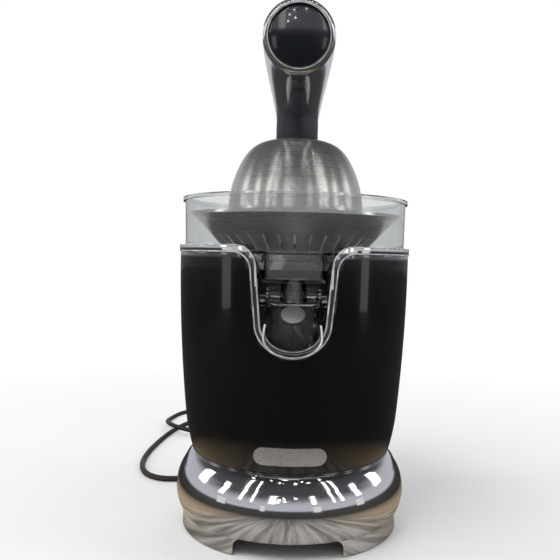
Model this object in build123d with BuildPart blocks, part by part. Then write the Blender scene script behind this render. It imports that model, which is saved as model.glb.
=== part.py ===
from build123d import *
import os
from math import atan2, cos, degrees, pi, radians, sin, sqrt, tan

os.makedirs("parts", exist_ok=True)

# Electric lever citrus juicer, millimetres, +Z up, front towards -Y.
# The origin is the middle of the base on the table.

# ---------------------------------------------------------------- driving dimensions

# Fits
running_gap = 0.05          # radial, shafts and pins in their bores
seat_gap = 0.4              # between parts that drop into each other
skin_gap = 0.3              # between trim and the part beside it

# Base ring, a die casting with two long feet
pad_drop = 1.0              # how far the rubber pads stand below the metal
base_foot_radius = 85.0
base_waist_radius = 84.6
base_waist_height = 12.0
base_bulge_radius = 90.4
base_bulge_height = 29.6
base_shoulder_radius = 84.9
base_shoulder_height = 49.4
base_top_radius = 78.0
base_height = 58.0
base_wall = 3.0
base_flange_width = 12.0
arch_half_angle = 27.5
arch_height = 11.5
arch_corner = 6.0
foot_flange_width = 10.0
foot_flange_height = 4.0

# Bottom plate and its fixings
plate_thickness = 2.5
plate_lug_length = 14.0
vent_pitch = 8.0
vent_count = 7
vent_length = 40.0
vent_width = 3.0
pad_width = 6.0
pad_length = 22.0
pad_pocket = 2.0
screw_size = 4.0
screw_head = 7.5
screw_head_height = 2.4

# Housing, a moulded shell that widens upwards
housing_foot_radius = 77.8
housing_knee_radius = 84.5
housing_knee_height = 89.0
housing_middle_radius = 88.9
housing_middle_height = 141.5
housing_rim_radius = 91.3
housing_rim_height = 214.7
housing_wall = 3.0
housing_flange_width = 13.0
housing_screw_reach = 70.5
housing_boss_radius = 4.5
housing_boss_height = 12.0

# U-shaped cut in the front of the housing, with its trim band
cut_bottom_height = 146.0
cut_shoulder_height = 166.5
cut_shoulder_half_width = 23.0
cut_top_half_width = 26.5
cut_corner = 15.0
band_width = 4.2
band_height = 5.3
band_proud = 0.7

# Badge plate, left plain
badge_length = 51.6
badge_width = 12.9
badge_height = 72.0
badge_thickness = 0.8

# Top deck that carries the bowl and hangs the gearbox
deck_height = 203.0
deck_thickness = 3.0
ledge_width = 4.0
ledge_thickness = 3.0

# Recess behind the cut, where the spout swings
recess_half_width = 27.0
recess_back = 50.0
recess_floor_height = 135.0
recess_wall = 2.5

# Juice bowl
bowl_foot_radius = 87.2
bowl_rim_radius = 88.5
bowl_lip_radius = 90.2
bowl_top_height = 257.5
bowl_lip_thickness = 3.0
bowl_wall = 2.5
bowl_floor_height = 216.0
chimney_radius = 11.5
chimney_wall = 2.5
chimney_height = 12.0
sump_half_width = 23.0
sump_back = 54.0
sump_front = 83.0
sump_depth = 19.5
nozzle_radius = 9.5
nozzle_wall = 2.0
nozzle_reach = 72.0
nozzle_length = 14.0

# Strainer
strainer_rim_radius = 82.0
strainer_rim_height = 246.0
strainer_rim_flange = 2.0
strainer_floor_radius = 56.0
strainer_sheet = 0.8
strainer_rib = 1.0
strainer_rib_width = 2.5
strainer_slot_count = 36
strainer_slot_width = 2.0
strainer_slot_start = 38.0
strainer_slot_end = 67.0

# Cone that the fruit is pressed on
cone_radius = 38.0
cone_length = 63.0
cone_wall = 2.5
cone_rib_count = 10
cone_rib_width = 3.0
cone_rib_proud = 2.2
cone_boss_radius = 9.0
cone_boss_clear = 4.5
cone_travel = 3.0

# Drive shaft, its bearings, spring and switch
shaft_radius = 4.0
shaft_flat = 3.2
shaft_in_cone = 22.0
bush_wall = 2.5
bush_flange = 2.0
collar_radius = 7.5
collar_length = 2.5
spring_wire = 1.0
spring_turns = 3.5
seal_radius = 10.0
seal_height = 3.0
switch_width = 20.0
switch_depth = 8.0
switch_height = 14.0
switch_post = 4.0
plunger_radius = 2.0
plunger_length = 8.0
plunger_shown = 4.0
tag_width = 4.0
tag_thickness = 0.8
tag_length = 6.0

# Gear train, module 1.25
gear_module = 1.25
tooth_addendum = 0.8
tooth_dedendum = 1.0
tooth_backlash = 0.35
pinion_teeth = 14
idler_large_teeth = 42
idler_small_teeth = 14
output_teeth = 48
gear_width = 7.0
gear_space = 2.0
hub_radius = 9.0
hub_length = 3.0
idler_axle_radius = 2.5
idler_angle = 137.8

# Gearbox casing
gearbox_wall = 3.0
gearbox_gap = 2.0
gearbox_top_thickness = 4.0
gearbox_inner_height = 32.0
gearbox_screw_size = 3.0
gearbox_lug_wall = 3.5

# Motor
motor_radius = 27.0
motor_length = 88.0
motor_can_wall = 1.5
motor_cap_length = 6.0
motor_boss_radius = 9.0
motor_shaft_radius = 2.5
rotor_radius = 14.5
rotor_length = 44.0
stator_length = 48.0
stator_air_gap = 0.6
commutator_radius = 8.0
commutator_length = 12.0
bearing_radius = 7.0
bearing_length = 5.0

# Lever arm hinge
pivot_reach = 103.0
pivot_height = 250.0
hinge_pin_radius = 3.0
hinge_bush_wall = 1.5
hinge_bush_length = 8.0
knuckle_radius = 10.0
knuckle_width = 24.0
knuckle_neck_reach = 16.0
cheek_thickness = 9.6
cheek_radius = 11.0
cheek_gap = 0.3
bracket_front = 91.6
bracket_foot_front = 64.0
bracket_foot_thickness = 6.0
bracket_bridge_height = 226.0
bracket_screw_reach = 73.0
bracket_screw_pitch = 30.0
bracket_screw_row = 9.0

# Lever arm, a chromed tube that widens towards its free end
arm_end_reach = 107.5
arm_end_height = 358.0
arm_end_radius = 24.4
arm_end_tilt = 11.0
arm_front_reach = 50.0
arm_front_height = 353.0
arm_front_radius = 23.4
arm_front_slope = 8.0
arm_middle_height = 341.0
arm_middle_radius = 20.0
arm_middle_slope = 17.0
arm_back_reach = 46.0
arm_back_height = 323.0
arm_back_radius = 16.5
arm_back_slope = 31.0
arm_bend_reach = 80.0
arm_bend_height = 291.0
arm_bend_radius = 13.5
arm_bend_slope = 52.0
arm_wall = 2.5
end_ring_depth = 4.0
end_ring_bevel = 1.8
cap_radius = 20.2
cap_crown = 2.5
cap_flange = 0.7
cap_plug_depth = 6.0

# Neck and pressing dome
neck_radius = 16.9
neck_edge_height = 306.0
neck_top_height = 334.0
neck_wall = 4.0
dome_pin_height = 322.0
dome_pin_radius = 2.5
dome_stem_radius = 5.0
dome_tilt = 6.0
dome_wall = 1.5
dish_land = 1.5
dome_edge_radius = 54.9
dome_edge_height = 247.0
dome_side_radius = 49.6
dome_side_height = 275.0
dome_shoulder_radius = 34.5
dome_shoulder_height = 300.5

# Spout that tilts up to stop the drip
spout_pivot_reach = 58.8
spout_slope = 40.0
spout_half_width = 20.0
spout_wall_length = 36.0
spoon_half_width = 21.0
spoon_reach = 43.0
spout_length = 58.5
spout_sheet = 2.0
spout_side_height = 12.5
spout_lip_height = 4.5
spout_corner = 10.8
spout_back = 5.0
spout_boss_radius = 4.0
spout_pin_head = 1.5
spout_pin_radius = 2.0
stopper_radius = 8.7
stopper_thickness = 1.5
stopper_stem_radius = 3.5
stopper_gap = 0.2

# Supply cord
cord_diameter = 5.0
cord_exit_height = 29.6
relief_length = 24.0
relief_root_radius = 6.0
relief_tip_radius = 4.0
relief_flange_radius = 8.0
relief_flange_thickness = 2.0
plug_length = 34.0
plug_width = 26.0
plug_thickness = 14.0
plug_pin_radius = 2.0
plug_pin_length = 19.0
plug_pin_spacing = 18.6

# ---------------------------------------------------------------- places worked out

arch_top_height = pad_drop + arch_height
plate_top_height = arch_top_height + plate_thickness + 1.0
plate_radius = base_waist_radius - base_wall - seat_gap
deck_underside = deck_height - deck_thickness
band_top_height = housing_rim_height + band_height
gearbox_top_height = deck_underside
gearbox_inner_top = gearbox_top_height - gearbox_top_thickness
gearbox_inner_bottom = gearbox_inner_top - gearbox_inner_height
gearbox_bottom_height = gearbox_inner_bottom - gearbox_wall
gear_low_height = gearbox_inner_bottom + gear_space
gear_high_height = gear_low_height + gear_width + gear_space
shaft_bottom_height = gearbox_bottom_height - bush_flange - cone_travel - 1.0
cone_base_height = bowl_floor_height + strainer_rib + strainer_sheet + cone_travel + 1.2
cone_top_height = cone_base_height + cone_length
sump_bottom_height = bowl_floor_height - bowl_wall - sump_depth
nozzle_end_height = sump_bottom_height - nozzle_length
spout_pivot_height = nozzle_end_height - stopper_gap
bush_outer = shaft_radius + running_gap + bush_wall
pad_reach = base_foot_radius - foot_flange_width / 2

bracket_half_width = knuckle_width / 2 + cheek_gap + cheek_thickness
notch_half_width = bracket_half_width + skin_gap
notch_bottom_height = deck_underside - bracket_foot_thickness - skin_gap

output_radius = gear_module * output_teeth / 2
idler_large_radius = gear_module * idler_large_teeth / 2
idler_small_radius = gear_module * idler_small_teeth / 2
pinion_radius = gear_module * pinion_teeth / 2
tooth_tip = gear_module * tooth_addendum
idler_reach = output_radius + idler_small_radius
motor_mesh = idler_large_radius + pinion_radius
idler_centre = (idler_reach * cos(radians(idler_angle)), idler_reach * sin(radians(idler_angle)))
motor_centre = (0.0, idler_centre[1] + sqrt(motor_mesh ** 2 - idler_centre[0] ** 2))


def beside(centre, reach, angle):
    """The point at a reach and an angle in degrees from a centre."""
    return (centre[0] + reach * cos(radians(angle)), centre[1] + reach * sin(radians(angle)))


output_case = output_radius + tooth_tip + gearbox_gap + gearbox_wall
idler_case = idler_large_radius + tooth_tip + gearbox_gap + gearbox_wall
motor_case = pinion_radius + tooth_tip + gearbox_gap + gearbox_wall
gearbox_lug_radius = gearbox_screw_size / 2 + gearbox_lug_wall
gearbox_screw_places = [
    beside((0, 0), output_case + gearbox_lug_radius * 0.8, -40),
    beside((0, 0), output_case + gearbox_lug_radius * 0.8, 215),
    beside(idler_centre, idler_case + gearbox_lug_radius * 0.8, 150),
    beside((0, 0), output_case + gearbox_lug_radius * 0.8, 45),
]


# ---------------------------------------------------------------- shared forms

def turned(points):
    """A solid of revolution about Z, from corners given as (radius, height)."""
    with BuildPart() as form:
        with BuildSketch(Plane.XZ):
            with BuildLine():
                Polyline(*points, close=True)
            make_face()
        revolve(axis=Axis.Z)
    return form.part


def tube(outer_radius, inner_radius, bottom, top):
    """An upright ring between two heights."""
    corners = [(inner_radius, bottom), (outer_radius, bottom), (outer_radius, top), (inner_radius, top)]
    return turned(corners)


def base_form(inset, top):
    """The base's outer form, drawn in by a wall and closed at a height."""
    with BuildPart() as form:
        with BuildSketch(Plane.XZ):
            with BuildLine():
                waist = (base_waist_radius - inset, base_waist_height)
                bulge = (base_bulge_radius - inset, base_bulge_height)
                shoulder = (base_shoulder_radius - inset, base_shoulder_height)
                Polyline((0, top), (0, pad_drop), (base_foot_radius - inset, pad_drop), waist)
                ThreePointArc(waist, bulge, shoulder)
                Polyline(shoulder, (base_top_radius - inset, top), (0, top))
            make_face()
        revolve(axis=Axis.Z)
    return form.part


def housing_form(inset):
    """The housing's outer form, up to the top of the trim band, drawn in by a wall."""
    with BuildPart() as form:
        with BuildSketch(Plane.XZ):
            with BuildLine():
                foot = (housing_foot_radius - inset, base_height)
                knee = (housing_knee_radius - inset, housing_knee_height)
                middle = (housing_middle_radius - inset, housing_middle_height)
                rim = (housing_rim_radius - inset, housing_rim_height)
                side = ThreePointArc(knee, middle, rim)
                TangentArc(knee, foot, tangent=-(side % 0))
                brim = (housing_rim_radius - inset, band_top_height)
                Polyline(foot, (0, base_height), (0, band_top_height), brim, rim)
            make_face()
        revolve(axis=Axis.Z)
    return form.part


def cut_sketch(grow):
    """A sketch of the U-shaped cut, widened all round and open past the top."""
    low = cut_shoulder_half_width + grow
    high = cut_top_half_width + grow
    corner = cut_corner - grow / 2
    brim = housing_rim_height if grow else band_top_height
    above = band_top_height + band_height
    with BuildSketch() as outline:
        with BuildLine():
            depth = cut_shoulder_height - cut_bottom_height + grow
            EllipticalCenterArc((0, cut_shoulder_height), low, depth, start_angle=180, arc_size=180)
            for side in (-1, 1):
                bend = (side * high, brim - corner)
                edge = side * (high + corner)
                Line((side * low, cut_shoulder_height), bend)
                TangentArc(bend, (edge, brim), tangent=(0, 1))
                Line((edge, brim), (edge, above))
            Line((-high - corner, above), (high + corner, above))
        make_face()
    return outline.sketch


def screw(head_radius, head_height, size, length):
    """A screw pointing down from the origin, its head above, with a cross recess."""
    with BuildPart() as one:
        with BuildSketch(Plane.XY):
            Circle(head_radius)
        extrude(amount=head_height)
        with BuildSketch(Plane.XY):
            Circle(size / 2)
        extrude(amount=-length)
        top_edge = one.edges().filter_by(GeomType.CIRCLE).sort_by(Axis.Z)[-1]
        fillet(top_edge, head_height * 0.4)
        with BuildSketch(Plane.XY.offset(head_height)):
            Rectangle(head_radius * 1.1, size * 0.22)
            Rectangle(size * 0.22, head_radius * 1.1)
        extrude(amount=-head_height * 0.6, mode=Mode.SUBTRACT)
    return one.part


# ---------------------------------------------------------------- base

arch_half_width = base_foot_radius * sin(radians(arch_half_angle))
lug_reach = plate_radius - plate_lug_length / 2

with BuildPart() as base_ring:
    add(base_form(0, base_height))
    add(base_form(base_wall, base_height - base_wall), mode=Mode.SUBTRACT)
    with BuildSketch(Plane.XY.offset(base_height)):
        Circle(base_top_radius - base_flange_width)
    extrude(amount=-2 * base_wall, mode=Mode.SUBTRACT)
    # a foot flange for the pads, and lugs that the bottom plate is screwed up to
    with BuildSketch(Plane.XY.offset(pad_drop)):
        Circle(base_foot_radius)
        Circle(base_foot_radius - foot_flange_width, mode=Mode.SUBTRACT)
    extrude(amount=foot_flange_height)
    with BuildSketch(Plane.XY.offset(plate_top_height)):
        with PolarLocations(lug_reach, 4, 45):
            Rectangle(plate_lug_length + 2 * base_wall, plate_lug_length)
    extrude(amount=plate_lug_length)
    add(base_form(0, base_height), mode=Mode.INTERSECT)
    # arches between the feet, front and back
    with BuildSketch(Plane.XZ) as arch:
        with Locations((0, pad_drop)):
            Rectangle(2 * arch_half_width, 2 * arch_height)
        fillet(arch.vertices().group_by(Axis.Y)[-1], arch_corner)
    extrude(amount=2 * base_bulge_radius, both=True, mode=Mode.SUBTRACT)
    # pockets for the pads
    with BuildSketch(Plane.XY.offset(pad_drop)):
        with PolarLocations(pad_reach, 4, 45):
            SlotOverall(pad_length, pad_width, rotation=90)
    extrude(amount=pad_pocket, mode=Mode.SUBTRACT)
    # tapped holes for the plate's screws and clear holes for the housing's
    with BuildSketch(Plane.XY.offset(plate_top_height)):
        with PolarLocations(lug_reach, 4, 45):
            Circle(screw_size / 2)
    extrude(amount=plate_lug_length, mode=Mode.SUBTRACT)
    with BuildSketch(Plane.XY.offset(base_height)):
        with PolarLocations(housing_screw_reach, 4, 45):
            Circle(screw_size / 2)
    extrude(amount=-base_wall, mode=Mode.SUBTRACT)
    # the cord's hole, low at the back
    with BuildSketch(Plane.XZ.offset(-2 * base_bulge_radius)):
        with Locations((0, cord_exit_height)):
            Circle(relief_root_radius)
    extrude(amount=1.5 * base_bulge_radius, mode=Mode.SUBTRACT)
base_ring.part.label = "base_ring"
export_step(base_ring.part, "parts/base_ring.step")

with BuildPart() as rubber_feet:
    with BuildSketch():
        with PolarLocations(pad_reach, 4, 45):
            SlotOverall(pad_length, pad_width, rotation=90)
    extrude(amount=pad_drop + pad_pocket)
rubber_feet.part.label = "rubber_feet"
export_step(rubber_feet.part, "parts/rubber_feet.step")

with BuildPart() as bottom_plate:
    with BuildSketch(Plane.XY.offset(plate_top_height)):
        Circle(plate_radius)
        with PolarLocations(lug_reach, 4, 45):
            Circle(screw_size / 2, mode=Mode.SUBTRACT)
        with GridLocations(vent_pitch, 0, vent_count, 1):
            SlotOverall(vent_length, vent_width, rotation=90, mode=Mode.SUBTRACT)
    extrude(amount=-plate_thickness)
bottom_plate.part.label = "bottom_plate"
export_step(bottom_plate.part, "parts/bottom_plate.step")

plate_screw = screw(screw_head / 2, screw_head_height, screw_size, plate_lug_length + plate_thickness - 2)
with BuildPart() as base_screws:
    with Locations(Plane.XY.offset(plate_top_height - plate_thickness)):
        with PolarLocations(lug_reach, 4, 45):
            add(plate_screw.rotate(Axis.X, 180))
base_screws.part.label = "base_screws"
export_step(base_screws.part, "parts/base_screws.step")

# ---------------------------------------------------------------- housing

housing_inner = housing_form(housing_wall)
ledge_top = deck_underside

with BuildPart() as housing_shell:
    add(housing_form(0))
    add(housing_inner, mode=Mode.SUBTRACT)
    # the bottom flange, bored for the screws that come up through the base
    with BuildSketch(Plane.XY.offset(base_height)):
        Circle(housing_foot_radius - housing_wall / 2)
        Circle(housing_foot_radius - housing_flange_width, mode=Mode.SUBTRACT)
    extrude(amount=housing_wall)
    with BuildSketch(Plane.XY.offset(base_height)):
        with PolarLocations(housing_screw_reach, 4, 45):
            Circle(housing_boss_radius)
    extrude(amount=housing_boss_height)
    with BuildSketch(Plane.XY.offset(base_height)):
        with PolarLocations(housing_screw_reach, 4, 45):
            Circle(screw_size / 2)
    extrude(amount=housing_boss_height - housing_wall, mode=Mode.SUBTRACT)
    # the ledge that the top deck rests on
    with BuildSketch(Plane.XY.offset(ledge_top)):
        Circle(housing_middle_radius)
        Circle(housing_rim_radius - housing_wall - ledge_width, mode=Mode.SUBTRACT)
    extrude(amount=-ledge_thickness)
    # open top, the cut in front and the notch behind for the hinge bracket
    with BuildSketch(Plane.XY.offset(housing_rim_height)):
        Circle(2 * housing_rim_radius)
    extrude(amount=2 * band_height, mode=Mode.SUBTRACT)
    with BuildSketch(Plane.XZ):
        add(cut_sketch(band_width))
    extrude(amount=2 * housing_rim_radius, mode=Mode.SUBTRACT)
    with BuildSketch(Plane.XZ.offset(-2 * housing_rim_radius)):
        with Locations((0, notch_bottom_height)):
            Rectangle(2 * notch_half_width, housing_rim_radius, align=(Align.CENTER, Align.MIN))
    extrude(amount=1.5 * housing_rim_radius, mode=Mode.SUBTRACT)
housing_shell.part.label = "housing_shell"
export_step(housing_shell.part, "parts/housing_shell.step")

housing_screw = screw(screw_head / 2, screw_head_height, screw_size, housing_boss_height - 1)
with BuildPart() as housing_screws:
    with Locations(Plane.XY.offset(base_height - base_wall)):
        with PolarLocations(housing_screw_reach, 4, 45):
            add(housing_screw.rotate(Axis.X, 180))
housing_screws.part.label = "housing_screws"
export_step(housing_screws.part, "parts/housing_screws.step")

with BuildPart() as trim_band:
    add(housing_form(-band_proud))
    add(housing_inner, mode=Mode.SUBTRACT)
    # below the rim only the strip round the cut stays
    with BuildSketch(Plane.XZ):
        Rectangle(4 * housing_rim_radius, 2 * housing_rim_height)
        add(cut_sketch(band_width), mode=Mode.SUBTRACT)
    extrude(amount=2 * housing_rim_radius, mode=Mode.SUBTRACT)
    with BuildSketch(Plane.XZ):
        Rectangle(4 * housing_rim_radius, 2 * housing_rim_height)
    extrude(amount=-2 * housing_rim_radius, mode=Mode.SUBTRACT)
    with BuildSketch(Plane.XZ):
        add(cut_sketch(0))
    extrude(amount=2 * housing_rim_radius, mode=Mode.SUBTRACT)
    with BuildSketch(Plane.XZ.offset(-2 * housing_rim_radius)):
        with Locations((0, notch_bottom_height)):
            Rectangle(2 * notch_half_width, housing_rim_radius, align=(Align.CENTER, Align.MIN))
    extrude(amount=1.5 * housing_rim_radius, mode=Mode.SUBTRACT)
trim_band.part.label = "trim_band"
export_step(trim_band.part, "parts/trim_band.step")

with BuildPart() as badge_plate:
    with BuildSketch(Plane.XZ):
        with Locations((0, badge_height)):
            SlotOverall(badge_length, badge_width)
    extrude(amount=2 * housing_rim_radius)
    add(housing_form(-badge_thickness), mode=Mode.INTERSECT)
    add(housing_form(0), mode=Mode.SUBTRACT)
badge_plate.part.label = "badge_plate"
export_step(badge_plate.part, "parts/badge_plate.step")

deck_notch_width = 2 * (sump_half_width + skin_gap + seat_gap)
with BuildPart() as top_deck:
    with BuildSketch(Plane.XY.offset(deck_height)):
        Circle(housing_rim_radius - housing_wall - seat_gap)
        # notch over the spout recess
        with Locations((0, -recess_back)):
            Rectangle(
                deck_notch_width, housing_rim_radius, align=(Align.CENTER, Align.MAX), mode=Mode.SUBTRACT)
        Circle(bush_outer, mode=Mode.SUBTRACT)
        with Locations((0, bracket_screw_reach)):
            with GridLocations(bracket_screw_pitch, bracket_screw_row, 2, 2):
                Circle(screw_size / 2, mode=Mode.SUBTRACT)
        with Locations(*gearbox_screw_places):
            Circle(gearbox_screw_size / 2, mode=Mode.SUBTRACT)
    extrude(amount=-deck_thickness)
top_deck.part.label = "top_deck"
export_step(top_deck.part, "parts/top_deck.step")

recess_front = housing_form(housing_wall + skin_gap)
with BuildPart() as spout_recess:
    recess_top = deck_underside
    with BuildSketch(Plane.XY.offset(recess_top)):
        with Locations((0, -recess_back + recess_wall)):
            Rectangle(2 * recess_half_width, housing_rim_radius, align=(Align.CENTER, Align.MAX))
    extrude(amount=recess_floor_height - recess_wall - recess_top)
    with BuildSketch(Plane.XY.offset(recess_top)):
        with Locations((0, -recess_back)):
            Rectangle(
                2 * (recess_half_width - recess_wall), 2 * housing_rim_radius,
                align=(Align.CENTER, Align.MAX))
    extrude(amount=recess_floor_height - recess_top, mode=Mode.SUBTRACT)
    add(recess_front, mode=Mode.INTERSECT)
    with BuildSketch(Plane.XY.offset(ledge_top)):
        Circle(housing_rim_radius)
        Circle(housing_rim_radius - housing_wall - ledge_width - skin_gap, mode=Mode.SUBTRACT)
    extrude(amount=-ledge_thickness - skin_gap, mode=Mode.SUBTRACT)
    # holes for the spout's pins
    with BuildSketch(Plane.YZ):
        with Locations((-spout_pivot_reach, spout_pivot_height)):
            Circle(spout_pin_radius)
    extrude(amount=2 * recess_half_width, both=True, mode=Mode.SUBTRACT)
spout_recess.part.label = "spout_recess"
export_step(spout_recess.part, "parts/spout_recess.step")

# ---------------------------------------------------------------- bowl, strainer and cone

bowl_floor_under = bowl_floor_height - bowl_wall
nozzle_centre = (0, -nozzle_reach)
sump_centre = (0, -(sump_back + sump_front) / 2)
sump_size = (2 * sump_half_width, sump_front - sump_back)
chimney_top = bowl_floor_height + chimney_height
rib_top = bowl_floor_height + strainer_rib

with BuildPart() as juice_bowl:
    # wall, lip, foot ring and floor
    with BuildSketch(Plane.XZ):
        with BuildLine():
            lip_under = bowl_top_height - bowl_lip_thickness
            Polyline(
                (bowl_foot_radius, deck_height), (bowl_rim_radius, lip_under), (bowl_lip_radius, lip_under),
                (bowl_lip_radius, bowl_top_height), (bowl_rim_radius - bowl_wall, bowl_top_height),
                (bowl_foot_radius - bowl_wall, bowl_floor_height), (0, bowl_floor_height),
                (0, bowl_floor_under), (bowl_foot_radius - bowl_wall, bowl_floor_under),
                (bowl_foot_radius - bowl_wall, deck_height), close=True)
        make_face()
    revolve(axis=Axis.Z)
    add(tube(chimney_radius, 0, bowl_floor_under, chimney_top))
    # ribs that the strainer sits on
    add(tube(chimney_radius + 3 * strainer_rib_width, chimney_radius + 2 * strainer_rib_width,
             bowl_floor_height, rib_top))
    add(tube(strainer_floor_radius, strainer_floor_radius - strainer_rib_width, bowl_floor_height, rib_top))
    # sump and nozzle
    with BuildSketch(Plane.XY.offset(bowl_floor_under)):
        with Locations(sump_centre):
            RectangleRounded(*sump_size, 2 * bowl_wall)
    extrude(amount=-sump_depth)
    with BuildSketch(Plane.XY.offset(sump_bottom_height)):
        with Locations(nozzle_centre):
            Circle(nozzle_radius)
    extrude(amount=-nozzle_length)
    with BuildSketch(Plane.XY.offset(rib_top)):
        with Locations(sump_centre):
            RectangleRounded(sump_size[0] - 2 * bowl_wall, sump_size[1] - 2 * bowl_wall, bowl_wall)
    extrude(amount=sump_bottom_height + bowl_wall - rib_top, mode=Mode.SUBTRACT)
    with BuildSketch(Plane.XY.offset(sump_bottom_height + bowl_wall)):
        with Locations(nozzle_centre):
            Circle(nozzle_radius - nozzle_wall)
    extrude(amount=-2 * (nozzle_length + bowl_wall), mode=Mode.SUBTRACT)
    with BuildSketch(Plane.XY.offset(chimney_top)):
        Circle(chimney_radius - chimney_wall)
    extrude(amount=-2 * chimney_height - 2 * bowl_wall, mode=Mode.SUBTRACT)
juice_bowl.part.label = "juice_bowl"
export_step(juice_bowl.part, "parts/juice_bowl.step")

strainer_top = strainer_rim_height
strainer_hole = chimney_radius + seat_gap
with BuildPart() as strainer:
    with BuildSketch(Plane.XZ):
        with BuildLine():
            flange = strainer_rim_radius + strainer_rim_flange
            sheet = strainer_sheet
            Polyline(
                (strainer_hole, rib_top), (strainer_floor_radius, rib_top),
                (strainer_rim_radius, strainer_top - 3 * sheet), (flange, strainer_top - 3 * sheet),
                (flange, strainer_top - 2 * sheet),
                (strainer_rim_radius - 0.5 * sheet, strainer_top - 2 * sheet),
                (strainer_floor_radius - 0.5 * sheet, rib_top + sheet), (strainer_hole, rib_top + sheet),
                close=True)
        make_face()
    revolve(axis=Axis.Z)
    add(tube(flange, flange - 1.5 * sheet, strainer_top - 2 * sheet, strainer_top))
    with BuildSketch(Plane.XY.offset(rib_top)):
        with PolarLocations((strainer_slot_start + strainer_slot_end) / 2, strainer_slot_count):
            SlotOverall(strainer_slot_end - strainer_slot_start, strainer_slot_width)
    extrude(amount=strainer_rim_height - rib_top, mode=Mode.SUBTRACT)
strainer.part.label = "strainer"
export_step(strainer.part, "parts/strainer.step")


def cone_form(inset):
    """The cone's form: a skirt and a long pointed arch, drawn in by a wall, open below."""
    top = cone_top_height - 1.3 * inset
    with BuildPart() as form:
        with BuildSketch(Plane.XZ):
            with BuildLine():
                skirt = (cone_radius - inset, cone_base_height + 0.08 * cone_length)
                waist = (0.76 * cone_radius - inset, cone_base_height + 0.45 * cone_length)
                shoulder = (0.13 * cone_radius, top - 0.02 * cone_length)
                Spline(skirt, waist, shoulder, (0, top), tangents=((0, 1), (-1, 0)))
                Polyline((0, top), (0, cone_base_height), (cone_radius - inset, cone_base_height), skirt)
            make_face()
        revolve(axis=Axis.Z)
    return form.part


cone_boss_bottom = chimney_top + cone_boss_clear
shaft_top_height = cone_boss_bottom + shaft_in_cone

with BuildPart() as cone:
    # ribs: thin blades that stand proud of the cone all the way up
    with BuildSketch(Plane.XY.offset(cone_base_height)):
        Circle(cone_rib_width)
        with PolarLocations(0, cone_rib_count):
            with Locations((cone_radius / 2 + cone_rib_proud, 0)):
                Rectangle(cone_radius, cone_rib_width)
    extrude(amount=2 * cone_length)
    add(cone_form(-cone_rib_proud), mode=Mode.INTERSECT)
    add(cone_form(0))
    add(cone_form(cone_wall), mode=Mode.SUBTRACT)
    # the boss that the drive shaft is pressed into
    add(tube(cone_boss_radius, 0, cone_boss_bottom, cone_top_height))
    add(cone_form(-cone_rib_proud), mode=Mode.INTERSECT)
    with BuildSketch(Plane.XY.offset(cone_boss_bottom)):
        Circle(shaft_radius)
    extrude(amount=shaft_in_cone, mode=Mode.SUBTRACT)
cone.part.label = "cone"
export_step(cone.part, "parts/cone.step")

# ---------------------------------------------------------------- drive shaft and its guides

lower_bush_bottom = gearbox_bottom_height - bush_flange
upper_bush_bottom = gearbox_inner_top - bush_flange
collar_top = upper_bush_bottom - stopper_gap
collar_bottom = collar_top - collar_length
hub_top = gear_high_height + gear_width + hub_length
flat_bottom = gear_high_height - gear_space

with BuildPart() as drive_shaft:
    with BuildSketch(Plane.XY.offset(shaft_bottom_height)):
        Circle(shaft_radius)
    extrude(amount=shaft_top_height - shaft_bottom_height)
    add(tube(collar_radius, 0, collar_bottom, collar_top))
    # two flats carry the turn from the output gear and let the shaft slide
    with BuildSketch(Plane.XY.offset(flat_bottom)):
        with GridLocations(2 * shaft_flat + 2 * shaft_radius, 0, 2, 1):
            Rectangle(2 * shaft_radius, 4 * shaft_radius)
    extrude(amount=collar_bottom - flat_bottom, mode=Mode.SUBTRACT)
drive_shaft.part.label = "drive_shaft"
export_step(drive_shaft.part, "parts/drive_shaft.step")

bush_bore = shaft_radius + running_gap
with BuildPart() as shaft_bushes:
    # lower bush in the gearbox floor, upper bush through its roof and the deck
    add(tube(bush_outer, bush_bore, lower_bush_bottom, gearbox_inner_bottom))
    add(tube(bush_outer + bush_flange, bush_bore, lower_bush_bottom, gearbox_bottom_height))
    add(tube(bush_outer, bush_bore, upper_bush_bottom, deck_height))
    add(tube(bush_outer + bush_flange, bush_bore, upper_bush_bottom, gearbox_inner_top))
shaft_bushes.part.label = "shaft_bushes"
export_step(shaft_bushes.part, "parts/shaft_bushes.step")

with BuildPart() as shaft_seal:
    add(tube(seal_radius, bush_bore, deck_height, deck_height + seal_height))
shaft_seal.part.label = "shaft_seal"
export_step(shaft_seal.part, "parts/shaft_seal.step")

spring_radius = shaft_radius + spring_wire / 2 + seat_gap
spring_pitch = (collar_bottom - hub_top - spring_wire) / spring_turns
with BuildPart() as return_spring:
    with BuildLine() as spring_line:
        Helix(spring_pitch, spring_turns * spring_pitch, spring_radius,
              center=(0, 0, hub_top + spring_wire / 2))
    with BuildSketch(Plane(origin=spring_line.line @ 0, z_dir=spring_line.line % 0)):
        Circle(spring_wire / 2 - running_gap)
    sweep(path=spring_line.line, is_frenet=True)
return_spring.part.label = "return_spring"
export_step(return_spring.part, "parts/return_spring.step")

with BuildPart() as switch_body:
    switch_top = shaft_bottom_height - stopper_gap - plunger_shown
    with BuildSketch(Plane.XY.offset(switch_top)):
        Rectangle(switch_width, switch_depth)
        Circle(plunger_radius + running_gap, mode=Mode.SUBTRACT)
    extrude(amount=-switch_height)
    with BuildSketch(Plane.XY.offset(switch_top - plunger_length - cone_travel)):
        Circle(plunger_radius + running_gap)
    extrude(amount=plunger_length - switch_height + cone_travel)
    # contact tags
    with BuildSketch(Plane.XY.offset(switch_top - switch_height)):
        with GridLocations(switch_width / 3, 0, 3, 1):
            Rectangle(tag_thickness, tag_width)
    extrude(amount=-tag_length)
switch_body.part.label = "switch_body"
export_step(switch_body.part, "parts/switch_body.step")

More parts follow.
